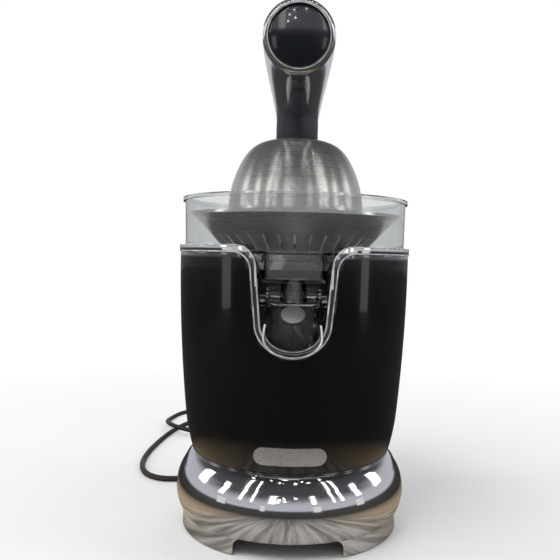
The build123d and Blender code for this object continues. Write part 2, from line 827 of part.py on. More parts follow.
with BuildPart() as switch_plunger:
    add(tube(plunger_radius, 0, switch_top - plunger_length + plunger_shown, switch_top + plunger_shown))
switch_plunger.part.label = "switch_plunger"
export_step(switch_plunger.part, "parts/switch_plunger.step")

# ---------------------------------------------------------------- gears and gearbox

def gear_face(teeth, bore, turn):
    """A stub-toothed involute gear's face with a round bore, its first tooth at an angle."""
    pitch = gear_module * teeth / 2
    tip = pitch + tooth_tip
    root = pitch - gear_module * tooth_dedendum
    base = pitch * cos(radians(20))
    half_tooth = degrees((pi * gear_module / 2 - tooth_backlash) / 2 / pitch)

    def flank(radius):
        """Angle in degrees between a tooth's middle and its flank at a radius."""
        pressure = [sqrt(max((r / base) ** 2 - 1, 0)) for r in (pitch, radius)]
        roll = [degrees(p - atan2(p, 1)) for p in pressure]
        return half_tooth + roll[0] - roll[1]

    low = max(root, base)
    levels = [low + (tip - low) * step / 4 for step in range(5)]
    with BuildSketch() as face:
        with BuildLine():
            for tooth in range(teeth):
                middle = turn + 360 * tooth / teeth
                next_middle = middle + 360 / teeth
                rising = [beside((0, 0), r, middle - flank(r)) for r in levels]
                falling = [beside((0, 0), r, middle + flank(r)) for r in reversed(levels)]
                next_rise = beside((0, 0), low, next_middle - flank(low))
                Polyline(*rising)
                Line(rising[-1], falling[0])
                Polyline(*falling)
                gap_ends = [beside((0, 0), root, middle + flank(low)),
                            beside((0, 0), root, next_middle - flank(low))]
                if low - root > 0.01:
                    Polyline(falling[-1], gap_ends[0], gap_ends[1], next_rise)
                else:
                    Line(falling[-1], next_rise)
        make_face()
        if bore:
            Circle(bore, mode=Mode.SUBTRACT)
    return face.sketch


def mesh_turn(teeth, other_teeth, other_turn, angle):
    """Turn that puts a gear's tooth space opposite a tooth of the gear it meshes with."""
    # phase of the other gear's teeth at the line of centres, carried over to this gear
    phase = (angle - other_turn) * other_teeth / 360
    return angle + 180 + (phase % 1 + 0.5) * 360 / teeth


idler_to_motor = degrees(atan2(motor_centre[1] - idler_centre[1], motor_centre[0] - idler_centre[0]))
output_turn = 0.0
idler_turn = mesh_turn(idler_small_teeth, output_teeth, output_turn, idler_angle)
pinion_turn = mesh_turn(pinion_teeth, idler_large_teeth, idler_turn, idler_to_motor)

with BuildPart() as output_gear:
    with BuildSketch(Plane.XY.offset(gear_high_height)):
        add(gear_face(output_teeth, 0, output_turn))
    extrude(amount=gear_width)
    add(tube(hub_radius, 0, gear_high_height - gear_space + stopper_gap, hub_top))
    # bore with two flats, a sliding fit on the shaft
    with BuildSketch(Plane.XY.offset(gear_high_height - gear_space)) as bore:
        Circle(bush_bore)
        Rectangle(2 * (shaft_flat + running_gap), 4 * shaft_radius, mode=Mode.INTERSECT)
    extrude(amount=gear_width + gear_space + hub_length, mode=Mode.SUBTRACT)
    # lightening holes
    with BuildSketch(Plane.XY.offset(gear_high_height)):
        with PolarLocations((hub_radius + output_radius) / 2, 6):
            Circle((output_radius - hub_radius) / 4)
    extrude(amount=gear_width, mode=Mode.SUBTRACT)
output_gear.part.label = "output_gear"
export_step(output_gear.part, "parts/output_gear.step")

idler_bore = idler_axle_radius + running_gap
with BuildPart() as idler_gear:
    with BuildSketch(Plane.XY.offset(gear_low_height)):
        with Locations(idler_centre):
            add(gear_face(idler_large_teeth, idler_bore, idler_turn))
    extrude(amount=gear_width)
    with BuildSketch(Plane.XY.offset(gear_low_height + gear_width)):
        with Locations(idler_centre):
            add(gear_face(idler_small_teeth, idler_bore, idler_turn))
    extrude(amount=gear_width + gear_space)
idler_gear.part.label = "idler_gear"
export_step(idler_gear.part, "parts/idler_gear.step")

with BuildPart() as idler_axle:
    with BuildSketch(Plane.XY.offset(gearbox_inner_bottom - gearbox_wall / 2)):
        with Locations(idler_centre):
            Circle(idler_axle_radius)
    extrude(amount=gearbox_inner_height + (gearbox_wall + gearbox_top_thickness) / 2)
idler_axle.part.label = "idler_axle"
export_step(idler_axle.part, "parts/idler_axle.step")

with BuildPart() as motor_pinion:
    with BuildSketch(Plane.XY.offset(gear_low_height)):
        with Locations(motor_centre):
            add(gear_face(pinion_teeth, motor_shaft_radius, pinion_turn))
    extrude(amount=gear_width)
motor_pinion.part.label = "motor_pinion"
export_step(motor_pinion.part, "parts/motor_pinion.step")


def gearbox_outline(inset):
    """Outline that wraps the three gears, drawn in by a wall."""
    with BuildSketch() as outline:
        Circle(output_case - inset)
        with Locations(idler_centre):
            Circle(idler_case - inset)
        with Locations(motor_centre):
            Circle(motor_case - inset)
        make_hull()
    return outline.sketch


with BuildPart() as gearbox_tray:
    with BuildSketch(Plane.XY.offset(gearbox_bottom_height)):
        add(gearbox_outline(0))
        with Locations(*gearbox_screw_places):
            Circle(gearbox_lug_radius)
    extrude(amount=gearbox_wall + gearbox_inner_height)
    with BuildSketch(Plane.XY.offset(gearbox_inner_bottom)):
        add(gearbox_outline(gearbox_wall))
    extrude(amount=gearbox_inner_height, mode=Mode.SUBTRACT)
    # axle boss, and posts that carry the switch
    with BuildSketch(Plane.XY.offset(gearbox_inner_bottom)):
        with Locations(idler_centre):
            Circle(2 * idler_axle_radius)
    extrude(amount=gear_space - stopper_gap)
    with BuildSketch(Plane.XY.offset(gearbox_bottom_height)):
        with GridLocations(switch_width + switch_post, 0, 2, 1):
            Rectangle(switch_post, switch_depth)
    extrude(amount=switch_top - switch_height - gearbox_bottom_height)
    # bores for the lower bush, the axle, the motor's boss and the screws
    with BuildSketch(Plane.XY.offset(gearbox_bottom_height)):
        Circle(bush_outer)
        with Locations(motor_centre):
            Circle(motor_boss_radius)
    extrude(amount=gearbox_wall, mode=Mode.SUBTRACT)
    with BuildSketch(Plane.XY.offset(gearbox_inner_bottom - gearbox_wall / 2)):
        with Locations(idler_centre):
            Circle(idler_axle_radius)
    extrude(amount=gearbox_wall + gear_space, mode=Mode.SUBTRACT)
    with BuildSketch(Plane.XY.offset(gearbox_bottom_height)):
        with Locations(*gearbox_screw_places):
            Circle(gearbox_screw_size / 2)
    extrude(amount=gearbox_wall + gearbox_inner_height, mode=Mode.SUBTRACT)
gearbox_tray.part.label = "gearbox_tray"
export_step(gearbox_tray.part, "parts/gearbox_tray.step")

with BuildPart() as gearbox_lid:
    with BuildSketch(Plane.XY.offset(gearbox_inner_top)):
        add(gearbox_outline(0))
        with Locations(*gearbox_screw_places):
            Circle(gearbox_lug_radius)
    extrude(amount=gearbox_top_thickness)
    # a boss down to the axle gear holds it in place
    with BuildSketch(Plane.XY.offset(gearbox_inner_top)):
        with Locations(idler_centre):
            Circle(2 * idler_axle_radius)
    extrude(amount=gear_high_height + gear_width + stopper_gap - gearbox_inner_top)
    with BuildSketch(Plane.XY.offset(gearbox_inner_top)):
        Circle(bush_outer)
        with Locations(*gearbox_screw_places):
            Circle(gearbox_screw_size / 2)
    extrude(amount=gearbox_top_thickness, mode=Mode.SUBTRACT)
    with BuildSketch(Plane.XY.offset(gearbox_inner_top + gearbox_top_thickness / 2)):
        with Locations(idler_centre):
            Circle(idler_axle_radius)
    extrude(amount=-gearbox_inner_height, mode=Mode.SUBTRACT)
gearbox_lid.part.label = "gearbox_lid"
export_step(gearbox_lid.part, "parts/gearbox_lid.step")

gearbox_screw_length = deck_height - gearbox_bottom_height
gearbox_screw = screw(gearbox_screw_size, screw_head_height, gearbox_screw_size, gearbox_screw_length)
with BuildPart() as gearbox_screws:
    with Locations(*[(x, y, gearbox_bottom_height) for x, y in gearbox_screw_places]):
        add(gearbox_screw.rotate(Axis.X, 180))
gearbox_screws.part.label = "gearbox_screws"
export_step(gearbox_screws.part, "parts/gearbox_screws.step")

# ---------------------------------------------------------------- motor

motor_top = gearbox_bottom_height
motor_cap_bottom = motor_top - motor_cap_length
can_bottom = motor_top - motor_length
stator_bottom = (can_bottom + motor_cap_bottom - stator_length) / 2
rotor_bottom = stator_bottom + (stator_length - rotor_length) / 2
stator_bore = rotor_radius + stator_air_gap
motor_axis = Location((motor_centre[0], motor_centre[1], 0))
motor_bore = motor_shaft_radius + running_gap


with BuildPart() as motor_can:
    add(tube(motor_radius, 0, can_bottom, motor_cap_bottom).moved(motor_axis))
    add(tube(motor_radius - motor_can_wall, 0, can_bottom + motor_can_wall, motor_top).moved(motor_axis),
        mode=Mode.SUBTRACT)
    add(tube(bearing_radius + motor_can_wall, 0, can_bottom, can_bottom + bearing_length).moved(motor_axis))
    add(tube(bearing_radius, 0, can_bottom + motor_can_wall, motor_top).moved(motor_axis), mode=Mode.SUBTRACT)
motor_can.part.label = "motor_can"
export_step(motor_can.part, "parts/motor_can.step")

with BuildPart() as motor_cap:
    add(tube(motor_radius, 0, motor_cap_bottom, motor_top).moved(motor_axis))
    add(tube(motor_boss_radius, 0, motor_top, motor_top + gearbox_wall).moved(motor_axis))
    add(tube(bearing_radius, 0, motor_cap_bottom, motor_cap_bottom + bearing_length).moved(motor_axis),
        mode=Mode.SUBTRACT)
    add(tube(motor_shaft_radius + seat_gap, 0, motor_cap_bottom, gearbox_inner_bottom).moved(motor_axis),
        mode=Mode.SUBTRACT)
motor_cap.part.label = "motor_cap"
export_step(motor_cap.part, "parts/motor_cap.step")

with BuildPart() as motor_stator:
    add(tube(motor_radius - motor_can_wall, stator_bore, stator_bottom, stator_bottom + stator_length)
        .moved(motor_axis))
    # winding slots
    with BuildSketch(Plane.XY.offset(stator_bottom)):
        with Locations(motor_centre):
            with PolarLocations((stator_bore + motor_radius) / 2, 4, 45):
                RectangleRounded(6.0, 9.0, 1.5)
    extrude(amount=stator_length, mode=Mode.SUBTRACT)
motor_stator.part.label = "motor_stator"
export_step(motor_stator.part, "parts/motor_stator.step")

with BuildPart() as motor_bearings:
    for bottom in (can_bottom + motor_can_wall, motor_cap_bottom):
        add(tube(bearing_radius, motor_bore, bottom, bottom + bearing_length).moved(motor_axis))
motor_bearings.part.label = "motor_bearings"
export_step(motor_bearings.part, "parts/motor_bearings.step")

with BuildPart() as motor_rotor:
    add(tube(motor_shaft_radius, 0, can_bottom + motor_can_wall + stopper_gap, gear_low_height + gear_width)
        .moved(motor_axis))
    add(tube(rotor_radius, 0, rotor_bottom, rotor_bottom + rotor_length).moved(motor_axis))
    add(tube(commutator_radius, 0, rotor_bottom - commutator_length, rotor_bottom).moved(motor_axis))
    with BuildSketch(Plane.XY.offset(rotor_bottom)):
        with Locations(motor_centre):
            with PolarLocations(rotor_radius, 12):
                Rectangle(5.0, 2.0)
    extrude(amount=rotor_length, mode=Mode.SUBTRACT)
motor_rotor.part.label = "motor_rotor"
export_step(motor_rotor.part, "parts/motor_rotor.step")

# ---------------------------------------------------------------- hinge

bush_radius = hinge_pin_radius + running_gap + hinge_bush_wall
bracket_back = pivot_reach + cheek_radius
bracket_foot_bottom = deck_underside - bracket_foot_thickness
slot_half_width = knuckle_width / 2 + cheek_gap

with BuildPart() as hinge_bracket:
    # side view: an upright post with a round top about the hinge pin, and a foot under the deck
    with BuildSketch(Plane.YZ):
        Polygon((bracket_foot_front, bracket_foot_bottom), (bracket_back, bracket_foot_bottom),
                (bracket_back, pivot_height), (bracket_front, pivot_height), (bracket_front, deck_underside),
                (bracket_foot_front, deck_underside), align=None)
        with Locations((pivot_reach, pivot_height)):
            Circle(cheek_radius)
    extrude(amount=bracket_half_width, both=True)
    # slot for the arm's knuckle, open above, behind and in front
    with BuildSketch(Plane.XY.offset(bracket_bridge_height)):
        with Locations((0, pivot_reach)):
            Rectangle(2 * slot_half_width, 4 * cheek_radius)
    extrude(amount=pivot_height, mode=Mode.SUBTRACT)
    # bore for the pin and holes for the screws through the deck
    with BuildSketch(Plane.YZ):
        with Locations((pivot_reach, pivot_height)):
            Circle(hinge_pin_radius)
    extrude(amount=bracket_half_width, both=True, mode=Mode.SUBTRACT)
    with BuildSketch(Plane.XY.offset(bracket_foot_bottom)):
        with Locations((0, bracket_screw_reach)):
            with GridLocations(bracket_screw_pitch, bracket_screw_row, 2, 2):
                Circle(screw_size / 2)
    extrude(amount=bracket_foot_thickness, mode=Mode.SUBTRACT)
hinge_bracket.part.label = "hinge_bracket"
export_step(hinge_bracket.part, "parts/hinge_bracket.step")

bracket_screw_length = deck_thickness + bracket_foot_thickness
with BuildPart() as bracket_screws:
    with Locations((0, bracket_screw_reach, deck_height)):
        with GridLocations(bracket_screw_pitch, bracket_screw_row, 2, 2):
            add(screw(screw_head / 2, screw_head_height, screw_size, bracket_screw_length))
bracket_screws.part.label = "bracket_screws"
export_step(bracket_screws.part, "parts/bracket_screws.step")

with BuildPart() as hinge_pin:
    with BuildSketch(Plane.YZ.offset(-bracket_half_width)):
        with Locations((pivot_reach, pivot_height)):
            Circle(hinge_pin_radius)
    extrude(amount=2 * bracket_half_width)
hinge_pin.part.label = "hinge_pin"
export_step(hinge_pin.part, "parts/hinge_pin.step")

with BuildPart() as hinge_bushes:
    for start in (-knuckle_width / 2, knuckle_width / 2 - hinge_bush_length):
        with BuildSketch(Plane.YZ.offset(start)):
            with Locations((pivot_reach, pivot_height)):
                Circle(bush_radius)
                Circle(hinge_pin_radius + running_gap, mode=Mode.SUBTRACT)
        extrude(amount=hinge_bush_length)
hinge_bushes.part.label = "hinge_bushes"
export_step(hinge_bushes.part, "parts/hinge_bushes.step")

# ---------------------------------------------------------------- lever arm

end_normal = (0, -cos(radians(arm_end_tilt)), -sin(radians(arm_end_tilt)))
end_plane = Plane(origin=(0, -arm_end_reach, arm_end_height), x_dir=(1, 0, 0), z_dir=end_normal)


def station(reach, height, slope):
    """A plane across the arm, whose line climbs at a slope in degrees towards the front."""
    normal = (0, -cos(radians(slope)), sin(radians(slope)))
    return Plane(origin=(0, -reach, height), x_dir=(1, 0, 0), z_dir=normal)


def arm_form(inset):
    """The arm's tube from behind the neck to its free end, drawn in by a wall."""
    with BuildPart() as form:
        for plane, radius in (
            (end_plane, arm_end_radius),
            (station(arm_front_reach, arm_front_height, arm_front_slope), arm_front_radius),
            (station(0, arm_middle_height, arm_middle_slope), arm_middle_radius),
            (station(-arm_back_reach, arm_back_height, arm_back_slope), arm_back_radius),
            (station(-arm_bend_reach, arm_bend_height, arm_bend_slope), arm_bend_radius),
        ):
            with BuildSketch(plane):
                Circle(radius - inset)
        loft()
    return form.part


knuckle_plane = Plane(origin=(0, pivot_reach, pivot_height), x_dir=(1, 0, 0), z_dir=(0, 0, 1))
arm_outer = arm_form(0)
arm_inner = arm_form(arm_wall)

with BuildPart() as arm_shell:
    add(arm_outer)
    # from the tube down to the knuckle
    with BuildSketch(station(-arm_bend_reach, arm_bend_height, arm_bend_slope)):
        Circle(arm_bend_radius)
    with BuildSketch(knuckle_plane.offset(knuckle_neck_reach)):
        Ellipse(knuckle_width / 2, knuckle_radius)
    loft()
    with BuildSketch(knuckle_plane.offset(knuckle_neck_reach)):
        Ellipse(knuckle_width / 2, knuckle_radius)
    extrude(amount=-knuckle_neck_reach)
    with BuildSketch(Plane.YZ.offset(-knuckle_width / 2)):
        with Locations((pivot_reach, pivot_height)):
            Circle(knuckle_radius)
    extrude(amount=knuckle_width)
    add(arm_inner, mode=Mode.SUBTRACT)
    with BuildSketch(Plane.YZ.offset(-knuckle_width / 2)):
        with Locations((pivot_reach, pivot_height)):
            Circle(bush_radius)
    extrude(amount=knuckle_width, mode=Mode.SUBTRACT)
    # hole that the neck is let into
    with BuildSketch(Plane.XY.offset(neck_edge_height)):
        Circle(neck_radius)
    extrude(amount=neck_top_height - neck_edge_height, mode=Mode.SUBTRACT)
arm_shell.part.label = "arm_shell"
export_step(arm_shell.part, "parts/arm_shell.step")

with BuildPart() as end_ring:
    with BuildSketch(end_plane):
        Circle(arm_end_radius)
        Circle(cap_radius + skin_gap, mode=Mode.SUBTRACT)
    extrude(amount=end_ring_depth)
    outer_edge = end_ring.edges().filter_by(GeomType.CIRCLE).sort_by(Axis((0, 0, 0), end_normal))[-2:]
    chamfer(outer_edge.sort_by(SortBy.RADIUS)[-1], end_ring_bevel)
end_ring.part.label = "end_ring"
export_step(end_ring.part, "parts/end_ring.step")

with BuildPart() as end_cap:
    crown_plane = end_plane.offset(end_ring_depth - cap_crown / 2)
    crown_radius = (cap_radius ** 2 + cap_crown ** 2) / (2 * cap_crown)
    with BuildSketch(end_plane):
        Circle(cap_radius)
    extrude(amount=end_ring_depth + cap_crown)
    # a flange behind the ring holds the cap in
    with BuildSketch(end_plane):
        Circle(cap_radius + cap_flange)
    extrude(amount=-cap_plug_depth)
    with Locations(crown_plane.offset(cap_crown - crown_radius)):
        Sphere(crown_radius, mode=Mode.INTERSECT)
end_cap.part.label = "end_cap"
export_step(end_cap.part, "parts/end_cap.step")

# ---------------------------------------------------------------- neck and dome

dish_radius = sqrt(neck_radius ** 2 + (dome_pin_height - neck_edge_height) ** 2)
dome_swing = (dome_pin_height - neck_edge_height + neck_wall) * sin(radians(dome_tilt))
neck_inner = neck_radius - neck_wall

with BuildPart() as neck:
    with BuildSketch(Plane.XY.offset(dome_pin_height - dish_radius)):
        Circle(neck_radius)
    extrude(amount=neck_top_height - dome_pin_height + dish_radius)
    # convex end, a ball about the dome's pin
    with BuildSketch(Plane.XZ):
        with Locations((0, dome_pin_height)):
            Circle(dish_radius)
            Rectangle(2 * dish_radius, 2 * dish_radius, align=(Align.CENTER, Align.MIN))
        Rectangle(dish_radius, 4 * dome_pin_height, align=(Align.MAX, Align.CENTER), mode=Mode.SUBTRACT)
    revolve(axis=Axis.Z, mode=Mode.INTERSECT)
    # hollow for the stem, and the pin's bore
    add(tube(neck_inner, 0, neck_edge_height, neck_top_height - neck_wall), mode=Mode.SUBTRACT)
    add(tube(dome_stem_radius + dome_swing + seat_gap, 0, 0, neck_edge_height), mode=Mode.SUBTRACT)
    with BuildSketch(Plane.YZ):
        with Locations((0, dome_pin_height)):
            Circle(dome_pin_radius)
    extrude(amount=2 * neck_radius, both=True, mode=Mode.SUBTRACT)
neck.part.label = "neck"
export_step(neck.part, "parts/neck.step")

with BuildPart() as dome_pin:
    with BuildSketch(Plane.YZ):
        with Locations((0, dome_pin_height)):
            Circle(dome_pin_radius)
    extrude(amount=neck_radius - skin_gap, both=True)
dome_pin.part.label = "dome_pin"
export_step(dome_pin.part, "parts/dome_pin.step")


def dome_form(inset):
    """The dome's outer form, drawn in by its sheet, with the dish sunk into its top."""
    dish = dish_radius + seat_gap + inset
    rim = neck_radius + dish_land
    rim_height = dome_pin_height - sqrt(dish ** 2 - rim ** 2)
    with BuildPart() as form:
        with BuildSketch(Plane.XZ):
            with BuildLine():
                edge = (dome_edge_radius - inset, dome_edge_height)
                side = (dome_side_radius - inset, dome_side_height)
                shoulder = (dome_shoulder_radius - inset * 0.75, dome_shoulder_height - inset * 0.7)
                crest = (rim + dish_land - inset * 0.4, rim_height + dish_land * 0.5 - inset * 0.8)
                lip = (rim, rim_height)
                Spline(edge, side, shoulder, crest, tangents=((-0.1, 1), (-1, 0.15)))
                Line(crest, lip)
                bottom = (0, dome_pin_height - dish)
                half_way = (dish * sin(radians(20)), dome_pin_height - dish * cos(radians(20)))
                ThreePointArc(lip, half_way, bottom)
                Polyline(bottom, (0, dome_edge_height), edge)
            make_face()
        revolve(axis=Axis.Z)
    return form.part


with BuildPart() as dome:
    add(dome_form(0))
    add(dome_form(dome_wall), mode=Mode.SUBTRACT)
dome.part.label = "dome"
export_step(dome.part, "parts/dome.step")

with BuildPart() as dome_stem:
    add(tube(dome_stem_radius, 0, dome_edge_height, dome_pin_height + dome_stem_radius))
    with Locations((0, 0, dome_pin_height)):
        Sphere(dish_radius + seat_gap, mode=Mode.INTERSECT)
    with BuildSketch(Plane.YZ):
        with Locations((0, dome_pin_height)):
            Circle(dome_pin_radius + running_gap)
    extrude(amount=2 * dome_stem_radius, both=True, mode=Mode.SUBTRACT)
dome_stem.part.label = "dome_stem"
export_step(dome_stem.part, "parts/dome_stem.step")

# ---------------------------------------------------------------- spout

slope = radians(spout_slope)
spout_pivot = (0, -spout_pivot_reach, spout_pivot_height)
# local y points up the slope, local z out of the trough
spout_plane = Plane(origin=spout_pivot, x_dir=(1, 0, 0), z_dir=(0, -sin(slope), cos(slope)))
trough_top = -stopper_thickness
trough_under = trough_top - spout_sheet
stopper_along = nozzle_reach - spout_pivot_reach


def trough_sketch(inset):
    """Plan of the spout: straight sides and a wider, rounded lip, drawn in by its sheet."""
    half = spout_half_width - inset
    wide = spoon_half_width - inset
    with BuildSketch() as plan:
        with BuildLine():
            EllipticalCenterArc((0, -spoon_reach), wide, spout_length - spoon_reach - inset,
                                start_angle=180, arc_size=180)
            Polyline((-wide, -spoon_reach), (-half, spout_back - inset), (half, spout_back - inset),
                     (wide, -spoon_reach))
        make_face()
    return plan.sketch


def trough(inset, under):
    """A flat-bottomed trough block with rounded lower edges, from a height above its plane."""
    with BuildPart() as block:
        with BuildSketch(spout_plane.offset(under)):
            add(trough_sketch(inset))
        extrude(amount=spout_side_height)
        lower_face = block.faces().sort_by(Axis(spout_pivot, spout_plane.z_dir))[0]
        fillet(lower_face.edges(), spout_corner - inset)
    return block.part


with BuildPart() as spout:
    add(trough(0, trough_under))
    # pivot bosses out to the recess walls
    with BuildSketch(Plane.YZ.offset(-recess_half_width + recess_wall + skin_gap)):
        with Locations(spout_pivot[1:]):
            Circle(spout_boss_radius)
    extrude(amount=2 * (recess_half_width - recess_wall - skin_gap))
    add(trough(spout_sheet, trough_top), mode=Mode.SUBTRACT)
    # the side walls fall away towards the lip
    with BuildSketch(Plane(origin=spout_pivot, x_dir=(0, cos(slope), sin(slope)), z_dir=(1, 0, 0))):
        top = trough_under + spout_side_height
        Polygon((-spout_wall_length - 4, top), (-spout_length - 1, trough_under + spout_lip_height),
                (-spout_length - 1, top + 1), (-spout_wall_length - 4, top + 1), align=None)
    extrude(amount=2 * spout_half_width, both=True, mode=Mode.SUBTRACT)
    # bores for the pivot pins and the stopper's stem
    with BuildSketch(Plane.YZ):
        with Locations(spout_pivot[1:]):
            Circle(spout_pin_radius + running_gap)
    extrude(amount=recess_half_width, both=True, mode=Mode.SUBTRACT)
    with BuildSketch(spout_plane):
        with Locations((0, -stopper_along)):
            Circle(stopper_stem_radius)
    extrude(amount=2 * trough_under, mode=Mode.SUBTRACT)
spout.part.label = "spout"
export_step(spout.part, "parts/spout.step")

with BuildPart() as drip_stopper:
    with BuildSketch(spout_plane):
        with Locations((0, -stopper_along)):
            Circle(stopper_radius)
    extrude(amount=trough_top)
    with BuildSketch(spout_plane.offset(trough_top)):
        with Locations((0, -stopper_along)):
            Circle(stopper_stem_radius)
    extrude(amount=-spout_sheet - stopper_thickness)
    with BuildSketch(spout_plane.offset(trough_under)):
        with Locations((0, -stopper_along)):
            Circle(stopper_stem_radius + stopper_thickness)
    extrude(amount=-stopper_thickness)
    fillet(drip_stopper.edges().sort_by(Axis(spout_pivot, spout_plane.z_dir))[-1], stopper_thickness / 3)
drip_stopper.part.label = "drip_stopper"
export_step(drip_stopper.part, "parts/drip_stopper.step")

pin_inner = spout_half_width - spout_sheet
with BuildPart() as spout_pins:
    for side in (-1, 1):
        with BuildSketch(Plane.YZ.offset(side * pin_inner)):
            with Locations(spout_pivot[1:]):
                Circle(spout_pin_radius)
        extrude(amount=side * (recess_half_width - pin_inner))
        with BuildSketch(Plane.YZ.offset(side * recess_half_width)):
            with Locations(spout_pivot[1:]):
                Circle(2 * spout_pin_radius)
        extrude(amount=side * spout_pin_head)
spout_pins.part.label = "spout_pins"
export_step(spout_pins.part, "parts/spout_pins.step")

# ---------------------------------------------------------------- supply cord

relief_tip = base_bulge_radius + relief_length
relief_back = base_bulge_radius - base_wall - relief_flange_thickness
with BuildPart() as strain_relief:
    with BuildSketch(Plane.XZ.offset(-relief_back + relief_flange_thickness)):
        with Locations((0, cord_exit_height)):
            Circle(relief_flange_radius)
    extrude(amount=-relief_flange_thickness)
    with BuildSketch(Plane.XZ.offset(-relief_back)):
        with Locations((0, cord_exit_height)):
            Circle(relief_root_radius)
    extrude(amount=-(base_bulge_radius - relief_back))
    with BuildSketch(Plane.XZ.offset(-base_bulge_radius)):
        with Locations((0, cord_exit_height)):
            Circle(relief_root_radius)
    with BuildSketch(Plane.XZ.offset(-relief_tip)):
        with Locations((0, cord_exit_height)):
            Circle(relief_tip_radius)
    loft()
strain_relief.part.label = "strain_relief"
export_step(strain_relief.part, "parts/strain_relief.step")

lie = cord_diameter / 2
over = lie + cord_diameter + 2.0
cord_route = [
    (0, relief_tip, cord_exit_height), (0, 132, cord_exit_height), (-2, 154, 21), (-7, 174, 9.5),
    (-18, 192, lie), (-38, 205, lie), (-61, 202, lie), (-76, 185, lie), (-81, 160, lie), (-84, 130, lie),
    (-86, 99, lie), (-101, 83, lie), (-123, 83, lie), (-139, 99, lie), (-148, 128, lie), (-150, 165, lie),
    (-147, 209, lie), (-141, 255, lie), (-129, 299, lie), (-105, 333, lie), (-72, 331, lie), (-57, 300, lie),
    (-67, 267, lie), (-96, 248, lie), (-130, 245, over), (-149, 272, over), (-154, 316, lie),
    (-144, 358, lie), (-112, 386, lie), (-72, 397, lie), (-32, 388, lie), (0, 364, lie), (18, 331, lie),
    (22, 297, lie),
]


def bend_radii(route):
    """Each corner's arc: 0.45 of the shorter run over the tangent of half the turn."""
    radii = []
    for before, corner, after in zip(route, route[1:], route[2:]):
        arriving = Vector(corner) - Vector(before)
        leaving = Vector(after) - Vector(corner)
        half_turn = radians(arriving.get_angle(leaving)) / 2
        radii.append(0.45 * min(arriving.length, leaving.length) / tan(half_turn))
    return radii


cord_radii = bend_radii(cord_route)
print("cord bends", [round(radius, 1) for radius in cord_radii])
with BuildPart() as cord:
    with BuildLine() as cord_line:
        FilletPolyline(*cord_route, radius=cord_radii)
    with BuildSketch(Plane(origin=cord_line.line @ 0, z_dir=cord_line.line % 0)):
        Circle(cord_diameter / 2)
    sweep(path=cord_line.line)
cord.part.label = "cord"
export_step(cord.part, "parts/cord.step")
cord_length = sum(edge.length for edge in cord_line.line.edges())
cord_share = cord.part.volume / (cord_length * pi * cord_diameter ** 2 / 4)
print("cord length", round(cord_length), "volume over section times length", round(cord_share, 4))

# the plug lies on the table, in line with the cord's end
plug_axis = (Vector(cord_route[-1]) - Vector(cord_route[-2])).normalized()
plug_plane = Plane(origin=cord_route[-1], x_dir=(0, 0, 1), z_dir=plug_axis)
plug_face = plug_plane.offset(plug_length)
with BuildPart() as plug_body:
    with BuildSketch(plug_plane):
        Circle(cord_diameter / 2)
    with BuildSketch(plug_plane.offset(plug_length / 2)):
        with Locations((plug_thickness / 2 - lie, 0)):
            RectangleRounded(plug_thickness, plug_width, plug_thickness / 4)
    loft()
    with BuildSketch(plug_plane.offset(plug_length / 2)):
        with Locations((plug_thickness / 2 - lie, 0)):
            RectangleRounded(plug_thickness, plug_width, plug_thickness / 4)
    extrude(amount=plug_length / 2)
plug_body.part.label = "plug_body"
export_step(plug_body.part, "parts/plug_body.step")

with BuildPart() as plug_pins:
    with BuildSketch(plug_face):
        with Locations((plug_thickness / 2 - lie, 0)):
            with GridLocations(0, plug_pin_spacing, 1, 2):
                Circle(plug_pin_radius)
    extrude(amount=plug_pin_length)
    fillet(plug_pins.edges().sort_by(Axis(plug_face.origin, plug_axis))[-2:], plug_pin_radius * 0.6)
plug_pins.part.label = "plug_pins"
export_step(plug_pins.part, "parts/plug_pins.step")
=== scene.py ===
"""Electric lever citrus juicer: its finishes, smooth skins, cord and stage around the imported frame."""

from math import asin, cos, pi, radians, sin, sqrt

import bpy
from mathutils import Matrix, Vector


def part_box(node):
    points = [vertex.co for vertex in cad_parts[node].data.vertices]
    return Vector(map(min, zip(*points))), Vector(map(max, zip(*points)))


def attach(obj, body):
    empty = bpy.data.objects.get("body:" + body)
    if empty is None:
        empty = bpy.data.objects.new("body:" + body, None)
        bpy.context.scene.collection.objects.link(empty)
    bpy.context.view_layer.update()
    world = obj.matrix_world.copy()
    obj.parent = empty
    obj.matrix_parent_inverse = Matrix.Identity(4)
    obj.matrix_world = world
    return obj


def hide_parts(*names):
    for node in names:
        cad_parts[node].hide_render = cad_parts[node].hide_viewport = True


bl_info = {
    "name": "Lever citrus juicer",
    "version": (1, 0, 0),
    "blender": (4, 5, 0),
    "location": "View3D > Sidebar > Juicer",
    "description": "Dresses an electric lever citrus juicer: skins, finishes, cord and stage",
    "category": "Add Mesh",
}

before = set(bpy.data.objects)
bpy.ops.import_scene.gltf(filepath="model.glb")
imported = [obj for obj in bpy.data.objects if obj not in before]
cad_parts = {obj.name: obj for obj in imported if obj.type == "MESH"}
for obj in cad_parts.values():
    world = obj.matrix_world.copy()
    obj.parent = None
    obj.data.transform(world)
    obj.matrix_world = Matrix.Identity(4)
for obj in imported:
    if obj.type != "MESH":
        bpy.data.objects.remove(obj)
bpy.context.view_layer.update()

# Picture size that the lens is worked out for
PICTURE_WIDTH = 560
SENSOR_WIDTH = 36.0

